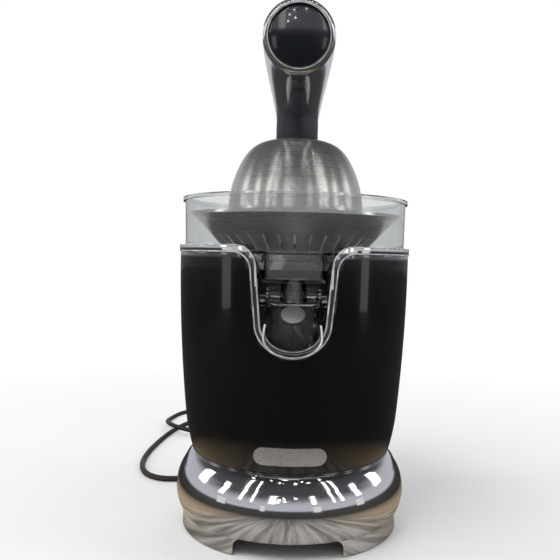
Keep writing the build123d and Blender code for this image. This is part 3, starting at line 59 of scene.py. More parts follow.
# The cord's route, from the strain relief to the plug, in metres
CORD_LIE = 0.0025
CORD_OVER = 0.0095
CORD_EXIT_HEIGHT = 0.0296
CORD_ROUTE = [
    (0, 0.1144, CORD_EXIT_HEIGHT), (0, 0.132, CORD_EXIT_HEIGHT), (-0.002, 0.154, 0.021),
    (-0.007, 0.174, 0.0095), (-0.018, 0.192, CORD_LIE), (-0.038, 0.205, CORD_LIE),
    (-0.061, 0.202, CORD_LIE), (-0.076, 0.185, CORD_LIE), (-0.081, 0.160, CORD_LIE),
    (-0.084, 0.130, CORD_LIE), (-0.086, 0.099, CORD_LIE), (-0.101, 0.083, CORD_LIE),
    (-0.123, 0.083, CORD_LIE), (-0.139, 0.099, CORD_LIE), (-0.148, 0.128, CORD_LIE),
    (-0.150, 0.165, CORD_LIE), (-0.147, 0.209, CORD_LIE), (-0.141, 0.255, CORD_LIE),
    (-0.129, 0.299, CORD_LIE), (-0.105, 0.333, CORD_LIE), (-0.072, 0.331, CORD_LIE),
    (-0.057, 0.300, CORD_LIE), (-0.067, 0.267, CORD_LIE), (-0.096, 0.248, CORD_LIE),
    (-0.130, 0.245, CORD_OVER), (-0.149, 0.272, CORD_OVER), (-0.154, 0.316, CORD_LIE),
    (-0.144, 0.358, CORD_LIE), (-0.112, 0.386, CORD_LIE), (-0.072, 0.397, CORD_LIE),
    (-0.032, 0.388, CORD_LIE), (0, 0.364, CORD_LIE), (0.018, 0.331, CORD_LIE),
    (0.022, 0.297, CORD_LIE),
]


# ---------------- sizes and colours a user may change


def colour_choice(name, description, default):
    """A colour that a user may change."""
    return bpy.props.FloatVectorProperty(
        name=name, description=description, default=default, subtype="COLOR")


class JuicerCamera(bpy.types.PropertyGroup):
    """Where the camera stands and how it looks."""

    place: bpy.props.FloatVectorProperty(
        name="Place", description="Where the camera stands", default=(0.0, -0.570, 0.213),
        size=3, subtype="TRANSLATION", unit="LENGTH")
    focal: bpy.props.FloatProperty(
        name="Focal length", description="Focal length in pixels of the picture", default=700.0)
    roll: bpy.props.FloatProperty(
        name="Roll", description="How far the camera leans to its left", default=radians(1.27),
        subtype="ANGLE")
    shift: bpy.props.FloatVectorProperty(
        name="Shift", description="Shift of the lens in pixels of the picture", default=(-14.4, -24.3),
        size=2)


class JuicerCord(bpy.types.PropertyGroup):
    """The supply cord."""

    diameter: bpy.props.FloatProperty(
        name="Diameter", description="Outer diameter of the sheath", default=0.005, unit="LENGTH")
    length: bpy.props.FloatProperty(
        name="Length", description="Length from strain relief to plug", default=1.057, unit="LENGTH")
    colour: colour_choice("Colour", "Colour of the sheath", (0.036, 0.028, 0.024))


class JuicerFinish(bpy.types.PropertyGroup):
    """Colours and gloss of the finishes."""

    chrome: colour_choice("Chrome", "Colour of the chrome plate", (0.80, 0.80, 0.81))
    chrome_roughness: bpy.props.FloatProperty(
        name="Chrome roughness", description="How blurred the chrome's reflections are", default=0.06)
    black: colour_choice("Black", "Colour of the gloss black plastic", (0.0045, 0.0044, 0.0048))
    steel: colour_choice("Steel", "Colour of the brushed steel", (0.64, 0.63, 0.61))
    clear: colour_choice("Clear", "Tint of the clear plastic", (0.74, 0.755, 0.76))
    cap: colour_choice("Cap", "Colour of the end cap and the neck", (0.018, 0.023, 0.033))
    silicone: colour_choice("Silicone", "Colour of the drip stopper", (0.46, 0.46, 0.45))


class JuicerStage(bpy.types.PropertyGroup):
    """Floor, lamps and sky."""

    floor_size: bpy.props.FloatProperty(
        name="Floor", description="Width of the floor", default=12.0, unit="LENGTH")
    floor_colour: colour_choice("Floor colour", "Colour of the floor", (0.60, 0.56, 0.51))
    sand_colour: colour_choice(
        "Sand colour", "Colour of the floor to the left and right of the juicer", (0.62, 0.47, 0.29))
    paper_colour: colour_choice(
        "Paper colour", "Colour of the floor as the camera sees it", (0.93, 0.93, 0.925))
    sky: bpy.props.FloatProperty(name="Sky", description="Strength of the soft sky light", default=0.55)
    key: bpy.props.FloatProperty(
        name="Key lamp", description="Power of the large lamp", default=8.0, unit="POWER")
    fill: bpy.props.FloatProperty(
        name="Fill lamp", description="Power of each side lamp and the back lamp", default=3.2, unit="POWER")


# ---------------- material tools


def new_material(name, colour, **values):
    """A Principled material, with plain values on the shader's own sockets."""
    material = bpy.data.materials.new(name)
    material.use_nodes = True
    shader = material.node_tree.nodes["Principled BSDF"]
    shader.inputs["Base Color"].default_value = (*colour, 1)
    for socket, value in values.items():
        shader.inputs[socket.replace("_", " ")].default_value = value
    return material


def add_node(owner, kind, **settings):
    """A node of a material or a world, with its settings."""
    node = owner.node_tree.nodes.new(kind)
    for setting, value in settings.items():
        setattr(node, setting, value)
    return node


def link(owner, source, target):
    owner.node_tree.links.new(source, target)


def calculated(owner, operation, *values):
    """The result of a Math node."""
    node = add_node(owner, "ShaderNodeMath", operation=operation)
    for value, socket in zip(values, node.inputs):
        link(owner, value, socket)
    return node.outputs["Value"]


def blended(owner, factor, first, second):
    """A shader that goes over from the first to the second with a factor."""
    node = add_node(owner, "ShaderNodeMixShader")
    link(owner, factor, node.inputs["Fac"])
    link(owner, first, node.inputs[1])
    link(owner, second, node.inputs[2])
    return node.outputs["Shader"]


def seen_directly(owner):
    """1 where the camera looks straight or through clear plastic, and 0 elsewhere."""
    rays = add_node(owner, "ShaderNodeLightPath").outputs
    return calculated(owner, "MAXIMUM", rays["Is Camera Ray"], rays["Is Transmission Ray"])


def shader_socket(material, name):
    return material.node_tree.nodes["Principled BSDF"].inputs[name]


def coordinates(material, stretch=(1, 1, 1)):
    """Object coordinates in metres, stretched."""
    source = add_node(material, "ShaderNodeTexCoord")
    mapping = add_node(material, "ShaderNodeMapping")
    mapping.inputs["Scale"].default_value = stretch
    link(material, source.outputs["Object"], mapping.inputs["Vector"])
    return mapping.outputs["Vector"]


def noise(material, scale, detail=4.0, roughness=0.5, stretch=(1, 1, 1)):
    node = add_node(material, "ShaderNodeTexNoise")
    node.inputs["Scale"].default_value = scale
    node.inputs["Detail"].default_value = detail
    node.inputs["Roughness"].default_value = roughness
    link(material, coordinates(material, stretch), node.inputs["Vector"])
    return node.outputs["Fac"]


def spread(owner, factor, low=0.0, high=1.0, start=0.3, end=0.7):
    """A factor's range from start to end, stretched to run from low to high."""
    node = add_node(owner, "ShaderNodeMapRange")
    for socket, value in (("From Min", start), ("From Max", end), ("To Min", low), ("To Max", high)):
        node.inputs[socket].default_value = value
    link(owner, factor, node.inputs["Value"])
    return node.outputs["Result"]


def mixed(material, factor, dark, light):
    """A colour that runs from dark to light with a factor."""
    node = add_node(material, "ShaderNodeMix", data_type="RGBA")
    first, second = [socket for socket in node.inputs if socket.type == "RGBA"]
    first.default_value = (*dark, 1)
    second.default_value = (*light, 1)
    link(material, factor, node.inputs["Factor"])
    return [socket for socket in node.outputs if socket.type == "RGBA"][0]


def tint(material, factor, dark, light):
    """The base colour runs from dark to light with a factor."""
    link(material, mixed(material, factor, dark, light), shader_socket(material, "Base Color"))


def roughen(material, factor, low, high):
    """The roughness runs from low to high over a factor's middle range."""
    link(material, spread(material, factor, low, high), shader_socket(material, "Roughness"))


def bump(material, height, depth, strength=1.0):
    """Bump of a depth in metres; strength softens it."""
    node = add_node(material, "ShaderNodeBump")
    node.inputs["Strength"].default_value = strength
    node.inputs["Distance"].default_value = depth
    link(material, height, node.inputs["Height"])
    link(material, node.outputs["Normal"], shader_socket(material, "Normal"))


def scaled(colour, factor):
    return tuple(channel * factor for channel in colour)


# ---------------- finishes


def chrome_finish(name, finish, metallic=1.0):
    """Polished chrome plate with faint smears."""
    material = new_material(name, finish.chrome, Metallic=metallic)
    smears = noise(material, 38.0, 5.0, 0.6)
    rough = finish.chrome_roughness
    roughen(material, smears, rough * 0.6, rough * 1.9)
    tint(material, smears, scaled(finish.chrome, 0.93), finish.chrome)
    bump(material, noise(material, 55.0, 1.0), 0.00025, 0.12)
    return material


def piano_black_finish(name, colour):
    """Gloss black plastic with a clear coat and a trace of dust."""
    material = new_material(name, colour, IOR=1.5, Coat_Weight=1.0, Coat_Roughness=0.035)
    wipes = noise(material, 26.0, 6.0, 0.62, stretch=(1, 1, 0.35))
    roughen(material, wipes, 0.10, 0.24)
    dust = noise(material, 900.0, 2.0, 0.7)
    tint(material, spread(material, dust, start=0.66, end=0.80), colour, scaled(colour, 2.4))
    bump(material, noise(material, 42.0, 1.0), 0.0003, 0.03)
    return material


def brushed_steel_finish(name, finish, rings=True, share=1.0, metallic=0.9):
    """Steel brushed in rings about the upright axis, or along +X; share dims its colour."""
    colour = scaled(finish.steel, share)
    rotation = 0.25 if rings else 0.0
    material = new_material(name, colour, Metallic=metallic, Anisotropic=0.8, Anisotropic_Rotation=rotation)
    stretch = (4.0, 4.0, 3200.0) if rings else (12.0, 3200.0, 3200.0)
    lines = noise(material, 1.0, 4.0, 0.7, stretch)
    broad = noise(material, 30.0, 3.0)
    roughen(material, lines, 0.26, 0.30)
    tint(material, spread(material, broad), scaled(colour, 0.9), colour)
    bump(material, lines, 0.000003, 0.08)
    if rings:
        tangent = add_node(material, "ShaderNodeTangent", direction_type="RADIAL", axis="Z")
        link(material, tangent.outputs["Tangent"], shader_socket(material, "Tangent"))
    return material


def clear_plastic_finish(name, finish, rough=0.02):
    """Clear moulded plastic with faint wipe marks."""
    material = new_material(name, finish.clear, IOR=1.47, Transmission_Weight=1.0)
    marks = noise(material, 60.0, 5.0, 0.65, stretch=(1, 1, 0.5))
    roughen(material, marks, rough, rough * 4.0)
    bump(material, noise(material, 35.0, 1.0), 0.0003, 0.10)
    return material


def painted_highlight_edge_finish(name):
    """A painted highlight: pale colour that stands in for the light that gathers in the rounded edges of
    clear or polished pieces.
    """
    dull, bright = (0.42, 0.43, 0.44), (0.95, 0.95, 0.95)
    material = new_material(name, bright, IOR=1.47)
    marks = noise(material, 180.0, 3.0)
    roughen(material, marks, 0.18, 0.42)
    tint(material, spread(material, marks), dull, bright)
    return material


def satin_black_finish(name, colour):
    """Smooth dark plastic that shows no sharp reflections."""
    material = new_material(name, colour, IOR=1.45)
    patches = noise(material, 60.0)
    tint(material, patches, scaled(colour, 0.8), scaled(colour, 1.2))
    roughen(material, patches, 0.36, 0.48)
    bump(material, noise(material, 1100.0, 2.0), 0.00001, 0.3)
    return material


def moulded_finish(name, colour, grain=0.00004, rough=0.48):
    """Moulded plastic or rubber with a fine grain."""
    material = new_material(name, colour)
    broad = noise(material, 45.0, 3.0)
    tint(material, spread(material, broad), scaled(colour, 0.85), colour)
    roughen(material, broad, rough * 0.85, rough * 1.15)
    bump(material, noise(material, 1400.0, 3.0), grain, 0.6)
    return material


def metal_finish(name, colour, rough=0.3):
    """Plain turned or pressed metal with fine marks."""
    material = new_material(name, colour, Metallic=1.0)
    marks = noise(material, 240.0, 4.0, 0.6)
    tint(material, spread(material, marks), scaled(colour, 0.8), colour)
    roughen(material, marks, rough * 0.75, rough * 1.3)
    bump(material, marks, 0.00002, 0.4)
    return material


def dress(material, *nodes):
    """CAD nodes keep their shape and take a finish in all their slots."""
    for node in nodes:
        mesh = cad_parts[node].data
        mesh.materials.clear()
        mesh.materials.append(material)


# ---------------- mesh tools, with sizes in millimetres

MM = 0.001
MERGE = 0.002 * MM
TURN_STEPS = 180
# how far inside its square corner the middle of a round one lies, as a share of its radius
CORNER_SHARE = 0.293


def only(piece):
    """Selects one piece alone and makes it the active one."""
    bpy.ops.object.select_all(action="DESELECT")
    piece.select_set(True)
    bpy.context.view_layer.objects.active = piece


def drawn(name, outline):
    """A closed line of edges through points of (across, up) in the XZ plane."""
    bpy.ops.object.select_all(action="DESELECT")
    bpy.ops.mesh.primitive_plane_add(size=MM, location=(0, 0, 0))
    piece = bpy.context.object
    piece.name = name
    bpy.ops.object.mode_set(mode="EDIT")
    bpy.ops.mesh.merge(type="CENTER")
    corners = [Vector((across * MM, 0, up * MM)) for across, up in outline]
    bpy.ops.transform.translate(value=corners[0])
    for last, corner in zip(corners, corners[1:] + corners[:1]):
        bpy.ops.mesh.extrude_vertices_move(TRANSFORM_OT_translate={"value": corner - last})
    bpy.ops.mesh.select_all(action="SELECT")
    return piece


def turned(name, outline, steps=TURN_STEPS):
    """A form turned about the upright axis from points of (radius, height)."""
    piece = drawn(name, outline)
    bpy.ops.mesh.spin(steps=steps, angle=2 * pi, center=(0, 0, 0), axis=(0, 0, 1))
    return closed_form(piece)


def slab(name, outline, start, end):
    """A form with an outline of (across, up), reaching along Y from start to end."""
    piece = drawn(name, outline)
    bpy.ops.mesh.remove_doubles(threshold=MERGE)
    bpy.ops.mesh.edge_face_add()
    bpy.ops.transform.translate(value=(0, start * MM, 0))
    bpy.ops.mesh.extrude_region_move(TRANSFORM_OT_translate={"value": (0, (end - start) * MM, 0)})
    return closed_form(piece)


def tower(name, outline, bottom, top):
    """A form with a plan of (across, back), standing from a bottom to a top height."""
    piece = slab(name, [(across, -back) for across, back in outline], bottom, top)
    piece.rotation_euler.x = pi / 2
    bpy.ops.object.transform_apply(location=False, rotation=True, scale=False)
    return piece


def rounded(centre, half_width, half_depth, corner, steps=6):
    """Outline of a rectangle with round corners."""
    points = []
    for quarter, (across, back) in enumerate(((1, 1), (-1, 1), (-1, -1), (1, -1))):
        for step in range(steps + 1):
            turn = pi / 2 * (quarter + step / steps)
            points.append((
                centre[0] + across * (half_width - corner) + corner * cos(turn),
                centre[1] + back * (half_depth - corner) + corner * sin(turn)))
    return points


def closed_form(piece):
    """Leaves edit mode with doubles merged and faces pointing outwards."""
    bpy.ops.mesh.select_all(action="SELECT")
    bpy.ops.mesh.remove_doubles(threshold=MERGE)
    bpy.ops.mesh.normals_make_consistent(inside=False)
    bpy.ops.object.mode_set(mode="OBJECT")
    return piece


def arc(start, middle, end, steps):
    """Points of the arc through three points, without its first."""
    (x1, y1), (x2, y2), (x3, y3) = start, middle, end
    twice = 2 * (x1 * (y2 - y3) + x2 * (y3 - y1) + x3 * (y1 - y2))
    s1, s2, s3 = x1 * x1 + y1 * y1, x2 * x2 + y2 * y2, x3 * x3 + y3 * y3
    centre = Vector((
        (s1 * (y2 - y3) + s2 * (y3 - y1) + s3 * (y1 - y2)) / twice,
        (s1 * (x3 - x2) + s2 * (x1 - x3) + s3 * (x2 - x1)) / twice))
    first, side, last = [Vector(point) - centre for point in (start, middle, end)]
    turn = first.angle_signed(last)
    if turn * first.angle_signed(side) < 0:
        turn -= 2 * pi * (1 if turn > 0 else -1)
    points = []
    for step in range(1, steps + 1):
        spoke = first.copy()
        spoke.rotate(Matrix.Rotation(-turn * step / steps, 2))
        points.append(tuple(centre + spoke))
    return points


def curved(points, steps):
    """Points of a smooth line through the given ones."""
    ends = [2 * Vector(points[0]) - Vector(points[1])] + [Vector(p) for p in points]
    ends.append(2 * Vector(points[-1]) - Vector(points[-2]))
    line = [tuple(points[0])]
    for before, start, end, after in zip(ends, ends[1:], ends[2:], ends[3:]):
        for step in range(1, steps + 1):
            t = step / steps
            line.append(tuple(0.5 * (
                2 * start + (end - before) * t + (2 * before - 5 * start + 4 * end - after) * t ** 2
                + (3 * start - before - 3 * end + after) * t ** 3)))
    return line


def mirrored(half):
    """Points in the opposite order, on the other side of the YZ plane."""
    return [(-point[0], *point[1:]) for point in reversed(half)]


def modify(piece, kind, **settings):
    """Adds a modifier, sets it and applies it."""
    only(piece)
    modifier = piece.modifiers.new(kind.title(), kind)
    for setting, value in settings.items():
        setattr(modifier, setting, value)
    bpy.ops.object.modifier_apply(modifier=modifier.name)


def combine(piece, operation, other):
    """Adds another form to a piece, takes it away, or keeps what lies in both."""
    modify(piece, "BOOLEAN", object=other, operation=operation, solver="EXACT")
    bpy.data.objects.remove(other)


def bevel(piece, width, segments=2, angle=radians(30), slot=-1):
    """Rounds a piece's edges; the rounded faces may take a material slot of their own."""
    modify(piece, "BEVEL", width=width * MM, segments=segments, limit_method="ANGLE", angle_limit=angle,
           harden_normals=False, use_clamp_overlap=True, material=slot)


def soften(piece, angle=radians(35)):
    """Smooth shading across edges flatter than an angle."""
    only(piece)
    bpy.ops.object.shade_smooth_by_angle(angle=angle)


def bevelled_copy(node, name, width, material, body):
    """A CAD node's form as one joined skin, with its edges rounded and its curves shaded smooth."""
    only(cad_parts[node])
    bpy.ops.object.duplicate()
    piece = bpy.context.object
    piece.name = name
    # the copy loses the marks that make the original a CAD node
    for key in list(piece.keys()):
        del piece[key]
    piece.parent = None
    bpy.ops.object.mode_set(mode="EDIT")
    bpy.ops.mesh.select_all(action="SELECT")
    bpy.ops.mesh.remove_doubles(threshold=MERGE)
    bpy.ops.mesh.customdata_custom_splitnormals_clear()
    bpy.ops.mesh.dissolve_limited(angle_limit=radians(0.4))
    bpy.ops.object.mode_set(mode="OBJECT")
    bevel(piece, width)
    soften(piece)
    return finished(piece, material, body, node)


def tube(name, kind, route, radius, fineness):
    """A curve with a round section along points in metres."""
    line = bpy.data.curves.new(name, "CURVE")
    line.dimensions = "3D"
    line.bevel_depth = radius
    line.bevel_resolution = fineness
    line.use_fill_caps = True
    spline = line.splines.new(kind)
    spline.points.add(len(route) - 1)
    for point, place in zip(spline.points, route):
        point.co = (*place, 1)
    piece = bpy.data.objects.new(name, line)
    bpy.context.scene.collection.objects.link(piece)
    return piece


def bead(name, route, radius, material, body):
    """A thin round bead along a line of points."""
    piece = tube(name, "POLY", [Vector(place) * MM for place in route], radius * MM, 2)
    only(piece)
    bpy.ops.object.convert(target="MESH")
    soften(piece)
    return finished(piece, material, body)


def finished(piece, material, body, node=None):
    """Gives a piece its finish and the body it rides on, and hides the CAD node it stands for."""
    if material:
        piece.data.materials.clear()
        piece.data.materials.append(material)
    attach(piece, body)
    if node:
        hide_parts(node)
    return piece


# ---------------- camera, cord and stage, in metres

# The point that lamps and small cards face, and how far off the tall cards stand
STAGE_MIDDLE = (0, 0, 0.18)
STRIP_REACH = 1.3
LAMP_WHITE = (1, 0.99, 0.97)

# Small lamps in front as (across, up), which glint on the cap and the base
FAR_LAMPS = ((-0.34, 1.02), (-0.13, 0.86), (-0.36, 0.76), (-0.24, 0.74),
             (-0.42, 0.64), (-0.10, 0.66), (-0.27, 0.58), (0.16, 0.90))
# Lamps high above as (across, forward), which glint on the base alone
HIGH_LAMPS = ((-0.9, 0.5), (-0.5, 0.9), (-0.1, 0.7), (0.35, 0.95),
              (0.75, 0.55), (-0.3, 1.3), (0.2, 1.4), (0.6, 1.2))
# Upright cards as (bearing in degrees, width, glow): high ones streak the arm and the dome, tall ones
# the base too, and low ones show in the gloss black
HIGH_STRIPS = ((-100, 0.30, 1.3), (-70, 0.14, 2.6), (-16, 0.14, 1.4), (24, 0.10, 1.7), (72, 0.14, 2.6),
               (102, 0.30, 1.3))
TALL_STRIPS = ((-48, 0.05, 5.0), (-36, 0.035, 5.0), (44, 0.04, 5.0), (53, 0.06, 5.0))
LOW_STRIPS = ((-66, 0.22, 0.30), (-24, 0.10, 0.30), (26, 0.16, 0.30), (70, 0.20, 0.30))

# What polished metal sees of the room, as (share of the way from straight down to straight up, brightness)
ROOM_BANDS = ((0.50, 0.10), (0.53, 0.55), (0.65, 0.50), (0.75, 0.09), (0.93, 0.03))
ROOM_BOTTOM = (0.030, 0.026, 0.022, 1)
ROOM_TOP = (0.025, 0.025, 0.028, 1)


class JUICER_OT_camera(bpy.types.Operator):
    """Adds the camera."""

    bl_idname = "juicer.camera"
    bl_label = "Camera"

    def execute(self, context):
        settings = context.scene.juicer_camera
        bpy.ops.object.select_all(action="DESELECT")
        bpy.ops.object.camera_add(location=settings.place)
        camera = context.object
        look = Matrix.Rotation(pi / 2, 4, "X")
        lean = Matrix.Rotation(settings.roll, 4, "Z")
        camera.matrix_world = Matrix.Translation(settings.place) @ look @ lean
        camera.data.sensor_width = SENSOR_WIDTH
        camera.data.lens = settings.focal * SENSOR_WIDTH / PICTURE_WIDTH
        camera.data.shift_x = settings.shift[0] / PICTURE_WIDTH
        camera.data.shift_y = settings.shift[1] / PICTURE_WIDTH
        camera.data.clip_start = 0.01
        context.scene.camera = camera
        return {"FINISHED"}


class JUICER_OT_cord(bpy.types.Operator):
    """Lays the supply cord from the strain relief to the plug."""

    bl_idname = "juicer.cord"
    bl_label = "Supply cord"

    def execute(self, context):
        settings = context.scene.juicer_cord
        cord = tube("supply_cord", "NURBS", CORD_ROUTE, settings.diameter / 2, 5)
        cord.data.resolution_u = 10
        spline = cord.data.splines[0]
        spline.order_u = 3
        spline.use_endpoint_u = True
        sheath = moulded_finish("cord_sheath", settings.colour, 0.00002, 0.42)
        finished(cord, sheath, "stand", "cord")
        relief = bevelled_copy("strain_relief", "cord_strain_relief", 0.4, sheath, "stand")
        plug = bevelled_copy("plug_body", "cord_plug", 1.6, sheath, "stand")
        nickel = metal_finish("plug_nickel", (0.70, 0.66, 0.56), 0.18)
        pins = bevelled_copy("plug_pins", "cord_plug_pins", 0.3, nickel, "stand")
        return {"FINISHED"}


def facing(place, axis):
    """The turn that points an axis from a place to the juicer's middle."""
    return (Vector(STAGE_MIDDLE) - Vector(place)).to_track_quat(axis, "Y").to_euler()


def lamp(name, place, width, power, height=None):
    """A soft area lamp that lights the juicer but isn't mirrored by it."""
    bpy.ops.object.select_all(action="DESELECT")
    bpy.ops.object.light_add(type="AREA", location=place)
    light = bpy.context.object
    light.name = name
    light.data.shape = "RECTANGLE"
    light.data.size = width
    light.data.size_y = height or width
    light.data.energy = power
    light.rotation_euler = facing(place, "-Z")
    light.visible_glossy = False


def card(name, place, turn, width, height, glow):
    """A glowing card that only polished surfaces see."""
    bpy.ops.object.select_all(action="DESELECT")
    bpy.ops.mesh.primitive_plane_add(size=1, location=place)
    piece = bpy.context.object
    piece.name = name
    piece.scale = (width, height, 1)
    piece.rotation_euler = turn
    light = (*LAMP_WHITE, 1)
    material = new_material(name, LAMP_WHITE, Roughness=0.9, Emission_Color=light, Emission_Strength=glow)
    piece.data.materials.append(material)
    for ray in ("camera", "diffuse", "shadow", "transmission"):
        setattr(piece, f"visible_{ray}", False)


class JUICER_OT_stage(bpy.types.Operator):
    """Adds the floor, the lamps, the reflector cards and the sky."""

    bl_idname = "juicer.stage"
    bl_label = "Stage"

    def execute(self, context):
        settings = context.scene.juicer_stage
        self.floor(settings)
        lamp("key_lamp", (-0.50, -0.60, 1.30), 0.8, settings.key)
        lamp("left_lamp", (-1.1, -0.15, 0.40), 0.22, settings.fill, height=1.1)
        lamp("right_lamp", (1.15, -0.20, 0.45), 0.22, settings.fill, height=1.1)
        lamp("back_lamp", (0.3, 1.2, 1.1), 0.9, settings.fill)
        self.glints("far_lamp", [(across, -1.45, up) for across, up in FAR_LAMPS], 0.032, 24.0)
        self.glints("high_lamp", [(across, -forward, 1.9) for across, forward in HIGH_LAMPS], 0.05, 22.0)
        self.strips("high_strip", HIGH_STRIPS, 0.66, 0.50)
        self.strips("tall_strip", TALL_STRIPS, 1.05, 1.30)
        self.strips("low_strip", LOW_STRIPS, 0.14, 0.26)
        self.sky(context, settings)
        context.scene.view_settings.view_transform = "Standard"
        return {"FINISHED"}

    def glints(self, name, places, width, glow):
        """Small square cards that face the juicer."""
        for number, place in enumerate(places):
            card(f"{name}_{number}", place, facing(place, "Z"), width, width, glow)

    def strips(self, name, rows, middle, height):
        """Upright cards on a circle round the juicer, at bearings from its front."""
        for bearing, width, glow in rows:
            turn = radians(bearing)
            place = (STRIP_REACH * sin(turn), -STRIP_REACH * cos(turn), middle)
            card(f"{name}_{bearing}", place, (pi / 2, 0, turn), width, height, glow)

    def floor(self, settings):
        """A sand-coloured floor that the camera sees as white paper, fading into the white sky."""
        bpy.ops.object.select_all(action="DESELECT")
        bpy.ops.mesh.primitive_plane_add(size=settings.floor_size, location=(0, 0, 0))
        floor = bpy.context.object
        floor.name = "floor"
        material = new_material("floor_paper", settings.floor_colour, Roughness=0.75)
        nodes = material.node_tree.nodes
        where = coordinates(material)
        reach = add_node(material, "ShaderNodeVectorMath", operation="LENGTH")
        link(material, where, reach.inputs[0])
        # polished pieces see sand at the sides and dark streaks in front; farther off, painted shade darkens
        # the floor's colour as a dim room
        apart = add_node(material, "ShaderNodeSeparateXYZ")
        link(material, where, apart.inputs[0])
        across = calculated(material, "ABSOLUTE", apart.outputs["X"])
        aside = spread(material, across, start=0.07, end=0.13)
        streaks = noise(material, 34.0, 4.0, 0.6, stretch=(3.0, 0.30, 1))
        streaks = spread(material, streaks, 0.30, 1.0, start=0.36, end=0.60)
        painted_shade_falloff = spread(material, reach.outputs["Value"], 1.0, 0.035, start=0.11, end=0.22)
        shade = calculated(material, "MULTIPLY", painted_shade_falloff, calculated(material, "MAXIMUM", aside, streaks))
        lit = add_node(material, "ShaderNodeVectorMath", operation="SCALE")
        link(material, mixed(material, aside, settings.floor_colour, settings.sand_colour), lit.inputs[0])
        link(material, shade, lit.inputs["Scale"])
        link(material, lit.outputs["Vector"], shader_socket(material, "Base Color"))
        # the camera sees paper that fades into the white sky
        paper = add_node(material, "ShaderNodeBsdfDiffuse")
        paper.inputs["Color"].default_value = (*settings.paper_colour, 1)
        white = add_node(material, "ShaderNodeEmission")
        far = spread(material, reach.outputs["Value"], start=0.20, end=0.75)
        fade = blended(material, far, paper.outputs["BSDF"], white.outputs["Emission"])
        ground = nodes["Principled BSDF"].outputs["BSDF"]
        surface = blended(material, seen_directly(material), ground, fade)
        link(material, surface, nodes["Material Output"].inputs["Surface"])
        floor.data.materials.append(material)

    def sky(self, context, settings):
        """Soft grey light, white to the camera and through clear plastic, a dim room to polished metal."""
        world = bpy.data.worlds.new("sky")
        context.scene.world = world
        world.use_nodes = True
        world.node_tree.nodes.clear()
        direction = add_node(world, "ShaderNodeTexCoord")
        parts = add_node(world, "ShaderNodeSeparateXYZ")
        link(world, direction.outputs["Generated"], parts.inputs["Vector"])
        height = spread(world, parts.outputs["Z"], start=-1.0, end=1.0)
        bands = add_node(world, "ShaderNodeValToRGB")
        link(world, height, bands.inputs["Fac"])
        stops = bands.color_ramp.elements
        stops[0].color = ROOM_BOTTOM
        stops[1].color = ROOM_TOP
        for position, level in ROOM_BANDS:
            stops.new(position).color = (level, level * 1.02, level * 1.1, 1)
        soft, room, white = [add_node(world, "ShaderNodeBackground") for _ in range(3)]
        soft.inputs["Color"].default_value = (1, 1, 1, 1)
        soft.inputs["Strength"].default_value = settings.sky
        link(world, bands.outputs["Color"], room.inputs["Color"])
        white.inputs["Color"].default_value = (1, 1, 1, 1)
        glossy = add_node(world, "ShaderNodeLightPath").outputs["Is Glossy Ray"]
        around = blended(world, glossy, soft.outputs["Background"], room.outputs["Background"])
        sight = blended(world, seen_directly(world), around, white.outputs["Background"])
        output = add_node(world, "ShaderNodeOutputWorld")
        link(world, sight, output.inputs["Surface"])


# ---------------- chrome base, in millimetres

# The casting draws in from its widest line by these amounts at these heights
FOOT_IN = 5.4
WAIST_IN = 0.4
WAIST_HEIGHT = 12.0
BULGE_HEIGHT = 29.6
SHOULDER_IN = 5.5
SHOULDER_HEIGHT = 49.4
# The lip under the housing, its inner flange and the flange along the feet
LIP_IN = 12.4
HOLE_IN = 24.4
FOOT_FLANGE = 10
FOOT_FLANGE_HEIGHT = 5.0


class JUICER_OT_base(bpy.types.Operator):
    """Makes the chromed base with its arches, and finishes what is under it."""

    bl_idname = "juicer.base"
    bl_label = "Base"

    wall: bpy.props.FloatProperty(name="Wall", description="Thickness of the casting", default=3.0)
    pad_drop: bpy.props.FloatProperty(
        name="Pad drop", description="Height of the metal above the table", default=1.0)
    arch_half_width: bpy.props.FloatProperty(name="Arch", description="Half the arch's width", default=39.25)
    arch_top: bpy.props.FloatProperty(name="Arch top", description="Height of the arch", default=12.5)
    arch_corner: bpy.props.FloatProperty(name="Arch corner", description="Radius of its corners", default=6.0)

    def execute(self, context):
        finish = context.scene.juicer_finish
        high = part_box("base_ring")[1]
        bulge = high.x / MM
        top = high.z / MM
        wall = self.wall
        foot = bulge - FOOT_IN
        waist = (foot - WAIST_IN, WAIST_HEIGHT)
        shoulder = (bulge - SHOULDER_IN, SHOULDER_HEIGHT)
        side = [(foot, self.pad_drop), waist]
        side += arc(waist, (bulge, BULGE_HEIGHT), shoulder, 26)
        # the shoulder rolls over into a narrow lip under the housing
        side += [(bulge - 8.2, 54.4), (bulge - 11.0, top - 0.8), (bulge - LIP_IN, top)]
        inside = [(bulge - HOLE_IN, top), (bulge - HOLE_IN, top - wall), (bulge - LIP_IN - wall, top - wall),
                  (shoulder[0] - wall, SHOULDER_HEIGHT), (bulge - wall, BULGE_HEIGHT),
                  (foot - wall, WAIST_HEIGHT), (foot - wall, FOOT_FLANGE_HEIGHT),
                  (foot - FOOT_FLANGE, FOOT_FLANGE_HEIGHT), (foot - FOOT_FLANGE, self.pad_drop)]
        base = turned("chrome_base", side + inside)
        half = self.arch_half_width
        corner = self.arch_corner
        roof = self.arch_top
        nip = corner * CORNER_SHARE
        start, end = (half - corner, roof), (half, roof - corner)
        right = [start] + arc(start, (half - nip, roof - nip), end, 6) + [(half, -5)]
        combine(base, "DIFFERENCE", slab("arch_cutter", mirrored(right) + right, -200, 200))
        bevel(base, 0.7, 3)
        soften(base)
        chrome = chrome_finish("base_chrome", finish)
        finished(base, chrome, "stand", "base_ring")
        rubber = moulded_finish("pad_rubber", (0.02, 0.02, 0.02), rough=0.7)
        bevelled_copy("rubber_feet", "foot_pads", 0.4, rubber, "stand")
        dress(moulded_finish("plate_plastic", (0.03, 0.03, 0.032)), "bottom_plate")
        dress(metal_finish("screw_zinc", (0.48, 0.48, 0.50)),
              "base_screws", "housing_screws", "bracket_screws", "gearbox_screws")
        return {"FINISHED"}


